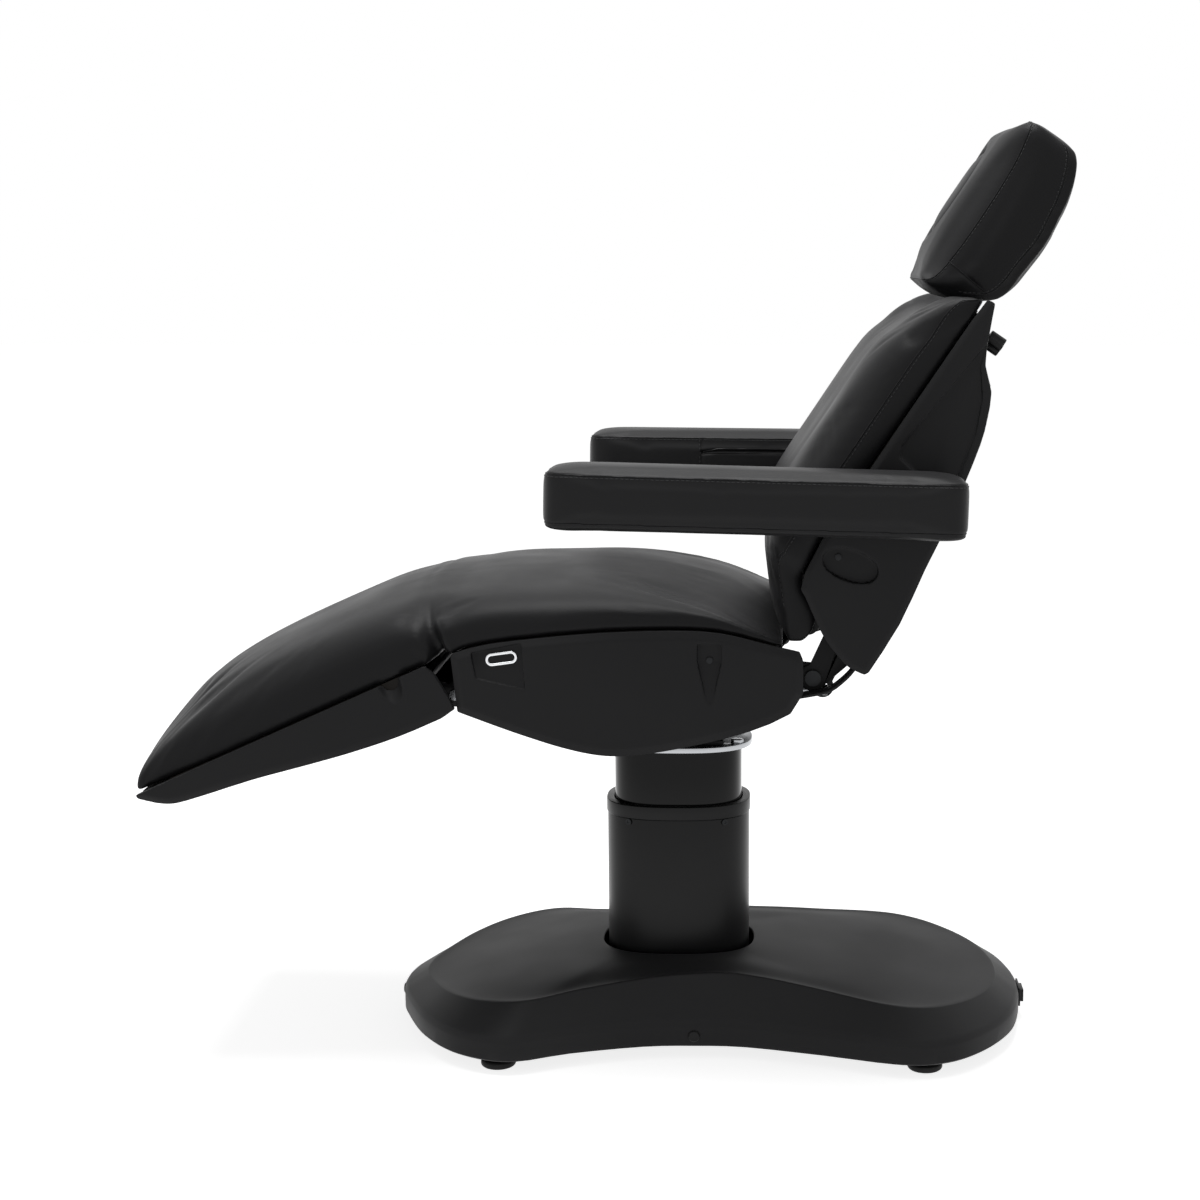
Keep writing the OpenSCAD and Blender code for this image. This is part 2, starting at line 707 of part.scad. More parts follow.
// Moulded plywood board under the seat cushion, level with the panels' rims
board_front = -strap_x - cross_l / 2;
board_rear = seat_panel_l - seat_front - 2 * riser_l;
function board_xs(n) = [for (i = [0 : n]) board_front + (board_rear - board_front) * i / n];
module seat_board() {
    color("#8a6d4a") in_row() slab(concat(
        [for (x = board_xs(round_n)) [x, seat_rim_z(x) - gap / 4]],
        [for (x = flipped(board_xs(round_n))) [x, seat_rim_z(x) - gap / 4 - board_t]]
    ), -seat_in_y + gap / 2, seat_in_y - gap / 2);
}
// Recesses in the panels' outer faces: a trapezoid for the release lever, a teardrop for a screw
lever_recess_shares = [[0.058, 0.82], [0.203, 0.9], [0.212, 0.52], [0.073, 0.61]];
lever_depth = 11;
tear_x_share = 0.735;
tear_z_shares = [0.9, 0.75, 0.44];
tear_r = 18;
tear_r_low = 5;
tear_depth = 9;
tear_x = seat_low[0] + tear_x_share * seat_panel_l;
module seat_panel() {
    heights = [for (s = tear_z_shares) seat_low_z + s * seat_panel_h];
    difference() {
        slab(seat_outline, -panel_y, -seat_in_y);
        slab(placed(lever_recess_shares, seat_low, seat_size), -panel_y - cut, -panel_y + lever_depth);
        slab([
            [tear_x - tear_r, heights[0]], [tear_x + tear_r, heights[0]], [tear_x + tear_r, heights[1]],
            [tear_x + tear_r_low, heights[2]], [tear_x - tear_r_low, heights[2]],
                [tear_x - tear_r, heights[1]]
        ], -panel_y - cut, -panel_y + tear_depth);
        cross_bar(tear_x, heights[2], tear_r_low, -panel_y - cut, -panel_y + tear_depth);
    }
}
module seat_panel_near() {
    color("#232323") in_row() seat_panel();
}
module seat_panel_far() {
    color("#232323") in_row() mirror([0, 1, 0]) seat_panel();
}
screw_z_share = 0.76;
screw_z = seat_low_z + screw_z_share * seat_panel_h;
module seat_panel_screws() {
    color("#6a6a6a") in_row() both_sides() translate([tear_x, -panel_y + tear_depth - gap / 4, screw_z])
        rotate([90, 0, 0]) cylinder(h = screw_h, r = screw_r);
}
// Bottom cover: one bellied skin between the side panels, open round the tilt bracket
cover_shares = [0, 0.05, 0.14, 0.24, 0.34, 0.44, 0.54, 0.64, 0.74, 0.84, 0.93, 1];
cover_front_share = 0.03;
cover_rear_share = 0.93;
cover_front = seat_low[0] + cover_front_share * seat_panel_l;
cover_rear = seat_low[0] + cover_rear_share * seat_panel_l;
// A skin's belly along its path: a sine between two shares of its half wave, flattened by a power
belly_start_share = 0.12;
belly_end_share = 0.88;
belly_power = 0.7;
function belly_at(s) =
    pow(sin(half_turn * (belly_start_share + (belly_end_share - belly_start_share) * s)), belly_power);
cover_hole_l = 180;
cover_hole_w = 190;
module bottom_cover() {
    path = [for (s = cover_shares) let (x = cover_front + s * (cover_rear - cover_front)) [x,
        seat_under_z(x) + cover_wall]];
    color("#1e1e1e") in_row() difference() {
        skin(path, [for (s = cover_shares) belly * belly_at(s)], seat_in_y - gap / 2, cover_wall);
        box([-cover_hole_l / 2, -cover_hole_w / 2, flange_z], [cover_hole_l / 2, cover_hole_w / 2, tilt_z]);
    }
}
// Curved guards round the back's pivots, carried on the side panels' inner faces
guard_path_shares = [[0.94, 0.3], [0.978, 0.42], [1.02, 0.45], [1.078, 0.49], [1.127, 0.6], [1.155, 0.7],
    [1.168, 0.77]];
guard_w = 34;
module pivot_guards() {
    outer = smooth(placed(guard_path_shares, seat_low, seat_size), 3);
    inner = [for (i = [0 : len(outer) - 1]) outer[i] - path_normal(outer, i) * cover_wall];
    color("#1a1a1a") in_row() both_sides() slab(concat(outer, flipped(inner)), seat_in_y - guard_w,
        seat_in_y - gap / 4);
}
// Cushions: the seat's and the leg rest's meet at a fold about the leg hinge
seat_pad_shares = [[-0.0128, 0.42], [0.06, 0.395], [0.15, 0.37], [0.29, 0.33], [0.44, 0.3], [0.6, 0.26],
    [0.7, 0.235], [0.79, 0.19], [0.86, 0.14], [0.92, 0.085], [0.945, 0.045]];
pad_draw = 10;
pad_crown = -12;
seat_pad_h = 60;
module seat_cushion() {
    // Each station gives its place and its height over the rim
    tops = smooth([for (s = seat_pad_shares) [seat_low[0] + s[0] * seat_panel_l, s[1] * seat_panel_h]], 2);
    color("#242424") in_row() loft([
        for (t = tops) [for (p = pad_section(pad_y, t[1], pad_draw,
            pad_crown * min(1, t[1] / seat_pad_h))) [t[0], p[0], seat_rim_z(t[0]) + soft_gap + p[1]]]
    ]);
}

// Leg rest
leg_top_shares = [[0.0007, 0.9], [0.1, 0.98], [0.25, 1], [0.45, 1], [0.62, 0.96], [0.76, 0.87],
    [0.86, 0.72], [0.93, 0.52], [0.975, 0.3], [0.995, 0.1]];
leg_tip_draw = 20;
module leg_cushion() {
    color("#242424") in_row() leg_placed() loft([
        for (s = smooth(leg_top_shares, 2))
            [for (p = pad_section(pad_y - leg_tip_draw * pow(s[0], 6), s[1] * leg_pad_h, pad_draw,
                pad_crown * s[1]))
                [-s[0] * leg_l, p[0], leg_rim + soft_gap + p[1]]]
    ]);
}
// The upholstery that bends between them, a sector about the hinge
fold_low = 82;
fold_n = 4;
module fold_cushion() {
    color("#242424") in_row() leg_placed() loft([
        for (k = [fold_n : -1 : 0]) let (a = -leg_slope * k / fold_n)
            [for (p = pad_section(pad_y, fold_r - fold_low, pad_draw, pad_crown))
                [-(fold_low + p[1]) * sin(a), p[0], (fold_low + p[1]) * cos(a)]]
    ]);
}
// Tray: side outline from the hinge's end along the underside to the tip
leg_under_shares = [[0.03, 0], [0.17, 0.01], [0.33, 0.1], [0.49, 0.24], [0.64, 0.38], [0.85, 0.52],
    [0.915, 0.63], [0.97, 0.86], [1, 1]];
leg_tray_end = 9;
leg_under = smooth(placed([for (s = leg_under_shares) [-s[0], s[1]]], [0, -leg_drop],
    [leg_l, leg_rim + leg_drop]), 3);
function leg_under_z(x) = lookup(x, flipped(leg_under));
module leg_tray() {
    outline = concat(leg_under, [[-leg_tray_end / 2, leg_rim],
        [leg_tray_end / 2, leg_rim - 2 * leg_tray_end], [leg_tray_end, leg_tray_end],
        [leg_tray_end, -leg_tray_end]]);
    inner = [for (i = [0 : len(leg_under) - 1]) leg_under[i] + path_normal(leg_under, i) * cover_wall];
    color("#232323") in_row() leg_placed() difference() {
        slab(outline, -panel_y, panel_y);
        slab(concat([for (p = inner) if (p[1] < leg_rim + cut) p],
            [[-leg_l + leg_tray_end, leg_rim + cut], [leg_l, leg_rim + cut],
            [leg_l, -leg_drop + cover_wall]]),
             -panel_y + leg_side_t, panel_y - leg_side_t);
        // Room for the hinge's ears
        cross_bar(0, 0, leg_ear_r + gap, -panel_y + leg_side_t, panel_y - leg_side_t);
        // A scoop in each side wall
        both_sides() translate([-scoop_x, -panel_y, leg_rim]) rotate([half_turn / 2 + scoop_tilt, 0, 0])
            translate([0, 0, -scoop_l]) cylinder(h = 2 * scoop_l, r = scoop_r);
    }
}
scoop_x = 62;
scoop_r = 17;
scoop_l = 34;
scoop_tilt = 62;
leg_bar_y = 210;
leg_bar_t = 8;
leg_bar_low = 26;
leg_bar_top = 50;
leg_bar_in = 60;
leg_bar_l = leg_l - leg_bar_in;
leg_bar_end = 13;
leg_cross_x = 36;
leg_cross_z = 40;
leg_cross_r = 10;
leg_lever_r = 35;
leg_down = 45;
leg_up = 24;
leg_lever_y = 140;
lever_t = 10;
leg_mid = (leg_down + leg_up) / 2;
leg_rest_phi = leg_mid - leg_up;
slot_play = 1.6;
hub_share = 2.2;
slot_r = small_pin_r + slot_play;
module lever_slot(r, phi_max, y0, y1, side = 1) {
    // An opening along the lever, in which the rod's cross pin rides
    for (d = [r - gap, r / cos(phi_max) + gap]) cross_bar(0, d, side * slot_r, y0 - cut, y1 + cut);
    box([-slot_r, y0 - cut, r - gap], [slot_r, y1 + cut, r / cos(phi_max) + gap]);
}
module leg_frame() {
    color("#2a2c2e") in_row() leg_placed() {
        both_sides() difference() {
            union() {
                cross_bar(0, 0, leg_ear_r, leg_bar_y, leg_bar_y + leg_bar_t);
                slab([[0, -leg_ear_r / 2], [leg_ear_r / 2, leg_ear_r / 2], [-leg_cross_x, leg_bar_top],
                    [-leg_bar_l, leg_bar_top], [-leg_bar_l, leg_bar_top - leg_bar_end],
                    [-2 * leg_cross_x, leg_bar_low]],
                     leg_bar_y, leg_bar_y + leg_bar_t);
            }
            cross_bar(0, 0, pin_r + run_gap, leg_bar_y - cut, leg_bar_y + leg_bar_t + cut);
        }
        cross_bar(-leg_cross_x, leg_cross_z, leg_cross_r, -leg_bar_y, leg_bar_y);
        cross_bar(-leg_bar_l + 5 * leg_cross_r, leg_cross_z, leg_cross_r, -leg_bar_y, leg_bar_y);
        // Lever that the leg actuator's rod works
        difference() {
            union() {
                slab([[-leg_cross_x, leg_cross_z - leg_cross_r / 2],
                    [leg_lever_c[0] - slot_r, leg_lever_c[1] - 2 * slot_r],
                    [leg_lever_c[0] + slot_r, leg_lever_c[1] + slot_r],
                    [-leg_cross_x, leg_cross_z + leg_cross_r / 2]],
                     leg_lever_y, leg_lever_y + lever_t);
                cross_bar(leg_lever_c[0], leg_lever_c[1], hub_share * slot_r, leg_lever_y,
                    leg_lever_y + lever_t);
            }
            rotate([0, leg_slope + leg_rest_phi, 0])
                lever_slot(leg_lever_r, leg_mid, leg_lever_y, leg_lever_y + lever_t);
        }
    }
}
leg_lever_c = [sin(leg_slope + leg_rest_phi), cos(leg_slope + leg_rest_phi)] * (leg_lever_r + 2 * cut);
leg_board_share = 0.8;
leg_board_l = leg_board_share * leg_l;
module leg_board() {
    color("#8a6d4a") in_row() leg_placed()
        box([-leg_board_l - leg_cross_x, -panel_y + leg_side_t + gap / 2, leg_bar_top],
            [-leg_cross_x, panel_y - leg_side_t - gap / 2, leg_rim]);
}
// Screws under the tray, square to its floor
leg_screw_shares = [0.12, 0.35, 0.57];
leg_screw_y = 189;
module leg_screws() {
    color("#6a6a6a") in_row() leg_placed() both_sides() for (s = leg_screw_shares) {
        x = -s * leg_l;
        rise = leg_under_z(x - screw_r) - leg_under_z(x + screw_r);
        translate([x, -leg_screw_y, leg_under_z(x)]) rotate([0, atan2(rise, 2 * screw_r), 0])
            translate([0, 0, -screw_h - gap / 4]) cylinder(h = screw_h, r = screw_r);
    }
}
module leg_hinge_pins() {
    color("#b0b0b0") in_row() both_sides() {
        cross_bar(-leg_hinge_x, leg_hinge_z, pin_r, leg_ear_y - 2 * screw_h,
            leg_bar_y + leg_bar_t + screw_h);
        cross_bar(-leg_hinge_x, leg_hinge_z, 1.5 * pin_r, leg_ear_y - 3 * screw_h, leg_ear_y - gap / 4);
    }
}

// Pins of the back's pivots, with round heads on the outside
back_bar_y = 242;
back_bar_t = 8;
module back_pivot_pins() {
    color("#3c3c3c") in_row() both_sides() {
        cross_bar(back_pivot_x, back_pivot_z, pin_r, rail_out - 2 * screw_h,
            back_bar_y + back_bar_t + screw_h);
        cross_bar(back_pivot_x, back_pivot_z, 1.5 * pin_r, back_bar_y + back_bar_t + gap / 4,
            back_bar_y + back_bar_t + 3 * screw_h);
    }
}

// Actuators: a motor, an outer tube and a rod that works a slotted lever
actuator_r = 15;
rod_r = 8;
motor_l = 56;
motor_w = 34;
leg_rod_y = 126;
leg_rod_z = leg_hinge_z + leg_lever_r;
leg_tube_end = 240;
back_rod_y = 172;
back_lever_r = 34;
back_lever_y = 158;
back_mid = back_slope / 2;
back_rod_z = back_pivot_z - back_lever_r;
back_tube_in = 100;
back_tube_l = 182;
back_tube_end = back_pivot_x - back_tube_in;
back_tube_start = back_tube_end - back_tube_l;
hanger_in = 25;
hanger_l = 90;
module actuator_tube(x0, x1, y, z) {
    translate([x0, y, z]) rotate([0, 90, 0]) difference() {
        cylinder(h = x1 - x0, r = actuator_r);
        translate([0, 0, -cut]) cylinder(h = x1 - x0 + 2 * cut, r = rod_r + run_gap);
    }
}
module motor(x, y, z) {
    box([x, y - motor_w / 2, z - motor_w / 2], [x + motor_l, y + motor_w / 2, z + motor_w / 2]);
}
module leg_actuator() {
    color("#3a3a3c") in_row() {
        actuator_tube(-leg_tube_end, -cross_a - motor_l, leg_rod_y, leg_rod_z);
        motor(-cross_a - motor_l, leg_rod_y, leg_rod_z);
    }
}
module back_actuator() {
    color("#3a3a3c") in_row() {
        actuator_tube(back_tube_start + motor_l, back_tube_end, -back_rod_y, back_rod_z);
        motor(back_tube_start, -back_rod_y, back_rod_z);
        // Hanger to the tilt plate, on the tube's upper wall
        box([back_tube_start + hanger_in, -back_rod_y - actuator_r / 2,
            back_rod_z + (rod_r + actuator_r) / 2],
            [back_tube_start + hanger_in + hanger_l, -back_rod_y + actuator_r / 2, rail_low - strap_t]);
    }
}
module rod(x0, x1, y, z) {
    translate([x0, y, z]) rotate([0, 90, 0]) cylinder(h = x1 - x0, r = rod_r);
}
// Places of the two cross pins at rest, on the line that each rod follows
leg_pin_x = -leg_hinge_x + leg_lever_r * tan(leg_mid) * leg_rest_phi / leg_mid;
back_pin_x = back_pivot_x + back_lever_r * tan(back_mid);
rod_lap = 60;
module leg_rod() {
    color("#c4c4c4") in_row() {
        rod(leg_pin_x - small_pin_r, rod_lap - leg_tube_end, leg_rod_y, leg_rod_z);
        cross_bar(leg_pin_x, leg_rod_z, small_pin_r, leg_rod_y, leg_lever_y + lever_t + screw_h);
    }
}
module back_rod() {
    color("#c4c4c4") in_row() {
        rod(back_tube_end - rod_lap, back_pin_x + small_pin_r, -back_rod_y, back_rod_z);
        cross_bar(back_pin_x, back_rod_z, small_pin_r, -back_rod_y, lever_t + screw_h - back_lever_y);
    }
}
// Sprung loop handles in the seat panels' front recesses
handle_l = 48;
handle_h = 20;
handle_wire = 6;
handle_band = 4.8;
handle_lean = -8;
handle_place_share = [0.145, 0.825];
handle_x = seat_low[0] + handle_place_share[0] * seat_panel_l;
handle_z = seat_low[1] + handle_place_share[1] * seat_panel_h;
module stadium(l, h) {
    square([l - h, h], center = true);
    for (x = [-1, 1]) translate([x * (l - h) / 2, 0]) circle(d = h);
}
module release_lever() {
    color("#d8d8d8") in_row() translate([handle_x, -panel_y + lever_depth - gap / 2,
        handle_z - handle_h / 2]) rotate([90, handle_lean, 0]) {
        linear_extrude(handle_wire) difference() {
            stadium(handle_l, handle_h);
            stadium(handle_l - 2 * handle_band, handle_h - 2 * handle_band);
        }
    }
}
module release_lever_near() {
    release_lever();
}
module release_lever_far() {
    mirror([0, 1, 0]) release_lever();
}

// Back: outlines of the side panel in the back's own frame, as shares of its length and depth
back_h = back_front + back_rear;
back_front_shares = [[1, 0.96], [0.997, 0.99], [0.93, 1], [0.65, 1], [0.3, 0.99], [0.215, 0.955],
    [0.175, 0.905]];
back_low_shares = [[0.166, 0.84], [0.137, 0.689], [0.108, 0.519], [0.09, 0.344], [0.083, 0.22], [0.089, 0.09]];
back_rear_shares = [[0.1, 0.072], [0.24, 0.09], [0.385, 0.175], [0.49, 0.225], [0.603, 0.3], [0.707, 0.38],
    [0.765, 0.45], [0.825, 0.55], [0.868, 0.71], [0.93, 0.82], [1, 0.925]];
back_low = [0, -back_rear];
back_size = [back_l, back_h];
back_edge = smooth(placed(back_rear_shares, back_low, back_size), 2);
back_outline = concat(placed(back_front_shares, back_low, back_size),
    smooth(placed(back_low_shares, back_low, back_size), 2), back_edge);
// Side panel: an oval hand recess near the arm, and a long shallow step along its front
oval_place_share = [0.292, 0.69];
oval_l = 84;
oval_w = 46;
oval_depth = 9;
oval_turn = 76;
step_depth = 4;
step_shares = [[0.92, 0.8], [0.6, 0.9], [0.575, 0.86], [0.56, 0.6], [0.57, 0.34], [0.72, 0.46], [0.8, 0.58],
    [0.86, 0.74]];
module back_panel() {
    difference() {
        slab(back_outline, -panel_y, -back_in_y);
        translate([oval_place_share[0] * back_l, -panel_y, -back_rear + oval_place_share[1] * back_h])
            rotate([90, oval_turn, 0]) translate([0, 0, -oval_depth]) linear_extrude(oval_depth + cut)
            polygon(super_oval(oval_l, oval_w, 2.2, 32));
        cross_bar(arm_along, arm_front, bush_r + gap / 2, -panel_y - cut, -back_in_y + cut);
        slab(placed(step_shares, back_low, back_size), -panel_y - cut, -panel_y + step_depth);
    }
}
module back_panel_near() {
    color("#232323") in_row() back_placed() back_panel();
}
module back_panel_far() {
    color("#232323") in_row() back_placed() mirror([0, 1, 0]) back_panel();
}
// Rear shell, bellied a little between the side panels
back_belly = 22;
back_shell_share = 0.975;
module back_shell() {
    path = [for (p = back_edge) if (p[0] < back_l * back_shell_share) p + [0, cover_wall]];
    n = len(path) - 1;
    color("#1e1e1e") in_row() back_placed() difference() {
        skin(path, [for (i = [0 : n]) back_belly * belly_at(i / n)], back_in_y - gap / 2, cover_wall);
        translate([knob_v, 0, -back_rear]) cylinder(h = back_h, r = knob_stem_r + gap);
    }
}
// Frame of the back: two bars from the pivots, cross ribs and a lever for its actuator
bar_rise = 9.5;
bar_half = 12;
back_lug_r = 20;
back_rib_t = 6;
back_rib_shares = [0.2, 0.5];
back_cross_v = 470;
back_cross_m = 77.5;
back_cross_r = 10;
back_cross_y = back_bar_y + back_bar_t / 2;
back_bar_l = 560;
lever_cross = [62, -26];
back_board_low = back_front - board_t;
module back_frame() {
    color("#2a2c2e") in_row() back_placed() {
        both_sides() difference() {
            union() {
                cross_bar(0, 0, back_lug_r, back_bar_y, back_bar_y + back_bar_t);
                rotate([0, -bar_rise, 0]) slab([[0, -bar_half], [back_bar_l, -bar_half],
                    [back_bar_l, bar_half], [0, bar_half]], back_bar_y, back_bar_y + back_bar_t);
                slab([[0, -back_lug_r], lever_cross + [back_cross_r + cut, -back_cross_r - 2 * cut],
                    lever_cross + [2 * back_cross_r, 2 * back_cross_r], [back_lug_r, bar_half]],
                     back_bar_y, back_bar_y + back_bar_t);
            }
            cross_bar(0, 0, pin_r + run_gap, back_bar_y - cut, back_bar_y + back_bar_t + cut);
        }
        cross_bar(lever_cross[0], lever_cross[1], back_cross_r, -back_cross_y, back_cross_y);
        cross_bar(back_cross_v, back_cross_m, back_cross_r, -back_cross_y, back_cross_y);
        for (v = back_rib_shares * back_l) box([v, -back_cross_y, v * tan(bar_rise) - bar_half / 2],
            [v + back_rib_t, back_cross_y, back_board_low - gap / 4]);
        difference() {
            union() {
                slab([lever_cross + [0, back_cross_r / 2], lever_cross - [0, back_cross_r / 2],
                    back_lever_c + [2 * slot_r, -slot_r], back_lever_c + [slot_r, 1.5 * slot_r]],
                     -back_lever_y, lever_t - back_lever_y);
                cross_bar(back_lever_c[0], back_lever_c[1], hub_share * slot_r, -back_lever_y,
                    lever_t - back_lever_y);
            }
            rotate([0, half_turn + back_slope - back_mid, 0])
                lever_slot(back_lever_r, back_mid, -back_lever_y, lever_t - back_lever_y);
        }
    }
}
back_lever_c = -[sin(back_slope - back_mid), cos(back_slope - back_mid)] * (back_lever_r + cut);
back_board_shares = [0.325, 0.66];
module back_board() {
    color("#8a6d4a") in_row() back_placed() box([back_board_shares[0] * back_l, -back_in_y + gap / 2,
        back_board_low],
        [back_board_shares[1] * back_l, back_in_y - gap / 2, back_front - gap / 4]);
}
stay_r = 5.5;
module stay_rods() {
    color("#c8c8c8") in_row() back_placed() both_sides()
        translate([back_lug_r + stay_r - gap, back_bar_y - stay_r, -back_lug_r + stay_r])
        rotate([0, 90, 0]) cylinder(h = lever_cross[0] - back_cross_r + 2 * gap - back_lug_r - stay_r,
            r = stay_r);
}
// Screws that hold the side panels, in the recesses
module back_screws() {
    color("#6a6a6a") in_row() back_placed() both_sides() {
        translate([oval_place_share[0] * back_l, -panel_y + oval_depth - gap / 4,
            -back_rear + oval_place_share[1] * back_h + oval_l / 4])
            rotate([90, 0, 0]) cylinder(h = screw_h, r = screw_r);
    }
}
// Back cushion: its lower end is rounded under, its top is scooped for the headrest
back_pad_shares = [
    [0.05, -0.54], [0.0667, -0.196], [0.092, 0.03], [0.122, 0.315], [0.173, 0.65], [0.213, 0.875],
        [0.267, 1], [0.317, 1.05],
    [0.53, 1.06], [0.75, 1.05], [0.833, 0.89], [0.89, 0.815], [0.932, 0.72], [0.953, 0.62], [0.972, 0.49],
        [0.993, 0.1]
];
back_foot_shares = [[0.05, -0.59], [0.0667, -0.78], [0.092, -0.82], [0.122, -0.77], [0.15, -0.66],
    [0.173, -0.3], [0.2, -0.1], [0.25, -0.05], [0.317, 0], [1, 0]];
back_wide_share = 0.215;
bolster_power = 4.5;
// The top end is drawn in over the middle, so that it clears the headrest's lower end
back_pad_count = 16;
scoop_depth = 34;
scoop_w = 400;
scoop_start_share = 0.82;
scoop_power = 8;
function scoop_at(s, y) = scoop_depth * max(0, (s - scoop_start_share) / (1 - scoop_start_share))
    * (1 - pow(min(1, abs(y) / (scoop_w / 2)), scoop_power));
module back_cushion() {
    base = back_front + soft_gap;
    color("#242424") in_row() back_placed() loft([
        for (s = smooth(back_pad_shares, 2)) let (
            foot = base + lookup(s[0], back_foot_shares) * back_pad_h,
            top = base + s[1] * back_pad_h,
            half = s[0] < back_wide_share ? back_in_y - gap : pad_y,
            over = pad_section(half, top - foot, pad_draw, back_dish * max(0, min(1, s[1])), bolster_power,
                back_pad_count),
            under = [for (i = [back_pad_count - 1 : -1 : 1]) [over[i][0] * (1 - pad_draw / half), 0]]
        ) [for (p = concat(over, under)) [s[0] * back_l - scoop_at(s[0], p[0]), p[0], foot + p[1]]]
    ]);
}

// Headrest: bars in guides, a tilt hinge at their top, a board bracket and the cushion
bar_m = 98;
guide_low = 455;
guide_high = 540;
guide_half = 14;
knob_v = 562;
knob_r = 16;
flute_out_share = 1.25;
flute_r_share = 0.4;
knob_stem_r = 6;
knob_len = 26;
tilt_v = 640;
tilt_m = 110;
block_half = 12;
block_y = 70;
bar_low_v = 400;
module headrest_guides() {
    color("#101010") in_row() back_placed() {
        both_sides() difference() {
            box([guide_low, bar_y - guide_half, back_cross_m + back_cross_r + gap / 4],
                [guide_high, bar_y + guide_half, back_front - gap]);
            translate([guide_low - cut, bar_y, bar_m]) rotate([0, 90, 0])
                cylinder(h = guide_high - guide_low + 2 * cut, r = bar_r + run_gap);
        }
        // Bridge that the lock knob's stem meets
        box([guide_high - 2 * guide_half, -bar_y + guide_half, back_cross_m + 2 * back_cross_r],
            [guide_high, bar_y - guide_half, back_front - gap]);
        box([guide_high, -guide_half, back_cross_m + 2 * back_cross_r],
            [knob_v + guide_half, guide_half, back_front - gap]);
    }
}
module headrest_lock_knob() {
    color("#0d0d0d") in_row() back_placed() translate([knob_v, 0, 0]) {
        translate([0, 0, knob_low]) cylinder(h = back_cross_m + 2 * back_cross_r - gap / 4 - knob_low,
            r = knob_stem_r);
        difference() {
            translate([0, 0, knob_low - knob_len]) cylinder(h = knob_len, r = knob_r);
            for (a = [0 : 60 : 300]) rotate([0, 0, a])
                translate([flute_out_share * knob_r, 0, knob_low - knob_len - cut])
                cylinder(h = knob_len + 2 * cut, r = flute_r_share * knob_r);
        }
    }
}
knob_low = 48;
module headrest_bars() {
    color("#c0c0c0") in_row() back_placed() {
        both_sides() translate([bar_low_v, bar_y, bar_m]) rotate([0, 90, 0])
            cylinder(h = tilt_v - block_half - bar_low_v, r = bar_r);
        difference() {
            union() {
                box([tilt_v - block_half, -block_y, bar_m - bar_r - cut],
                    [tilt_v + block_half, block_y, tilt_m]);
                cross_bar(tilt_v, tilt_m, block_half + cut, -block_y, block_y);
            }
            cross_bar(tilt_v, tilt_m, pin_r + run_gap, -block_y - cut, block_y + cut);
        }
    }
}
knuckle_t = 10;
knuckle_r = 14;
head_plate_m = 126;
head_plate_t = 4;
head_plate_v = 600;
head_plate_l = 66;
module headrest_plate() {
    color("#3a3c3e") in_row() back_placed() {
        box([head_plate_v, -block_y - cut - knuckle_t, head_plate_m],
            [head_plate_v + head_plate_l, block_y + cut + knuckle_t, head_plate_m + head_plate_t]);
        both_sides() difference() {
            union() {
                cross_bar(tilt_v, tilt_m, knuckle_r, block_y + cut, block_y + cut + knuckle_t);
                box([tilt_v - knuckle_r, block_y + cut, tilt_m],
                    [tilt_v + knuckle_r, block_y + cut + knuckle_t, head_plate_m]);
            }
            cross_bar(tilt_v, tilt_m, pin_r + run_gap, block_y, block_y + 2 * cut + knuckle_t);
        }
    }
}
module headrest_pin() {
    color("#a8a8a8") in_row() back_placed() cross_bar(tilt_v, tilt_m, pin_r, -block_y - knuckle_t - 2 * cut,
        block_y + knuckle_t + 2 * cut);
}
// Headrest side outline: each station along it gives the rear, the front seam and the crown
head_low_v = 574;
head_rear = 68;
head_shares = [
    [0, 0.746, 1.06, 1.06], [0.01, 0.68, 1.07, 1.09], [0.046, 0.443, 1, 1.105], [0.092, 0.25, 0.97, 1.14],
        [0.137, 0.123, 0.955, 1.17],
    [0.208, 0.057, 0.94, 1.205], [0.324, 0.025, 0.926, 1.245], [0.518, 0, 0.926, 1.258],
        [0.708, 0.06, 0.947, 1.25],
    [0.8, 0.11, 0.97, 1.245], [0.873, 0.17, 1, 1.225], [0.937, 0.24, 1.03, 1.17],
        [0.975, 0.295, 1.049, 1.1], [1, 0.36, 1.04, 1.06]
];
head_pad_draw = 8;
head_end_draw = 10;
head_power = 9;
pocket_v = 672;
pocket_m = head_plate_m + head_plate_t + soft_gap;
module head_form() {
    loft([for (s = smooth(head_shares, 2)) let (near_end = 1 - min(1, min(s[0], 1 - s[0]) * round_n))
        [for (p = head_section(head_w / 2 - head_end_draw * pow(near_end, 2), (s[2] - s[1]) * head_t,
            (s[3] - s[2]) * head_t))
            [head_low_v + s[0] * head_l, p[0], head_rear + s[1] * head_t + p[1]]]]);
}
// Flat sides with a short rear radius, and a crowned front
function head_section(half_w, h, crown) = [
    for (i = [0 : pad_count]) let (a = half_turn * i / pad_count,
        c = -sign(cos(a)) * pow(abs(cos(a)), 2 / head_power), s = pow(sin(a), 2 / head_power))
        [c * (half_w - head_pad_draw * pow(1 - s, 2)), h * s + crown * (1 - c * c) * s]
];
module headrest_cushion() {
    color("#242424") in_row() back_placed() difference() {
        head_form();
        box([head_low_v - 2 * cut, -block_y - knuckle_t - 3 * cut, head_rear - 3 * cut],
            [pocket_v, block_y + knuckle_t + 3 * cut, pocket_m]);
        translate([face_v, 0, face_m - face_d]) linear_extrude(2 * face_d)
            polygon(super_oval(face_l + 2 * soft_gap, face_w + 2 * soft_gap, 2, 40));
    }
}
face_v = 722;
face_m = 217;
face_edge = 6;
face_lip = 4;
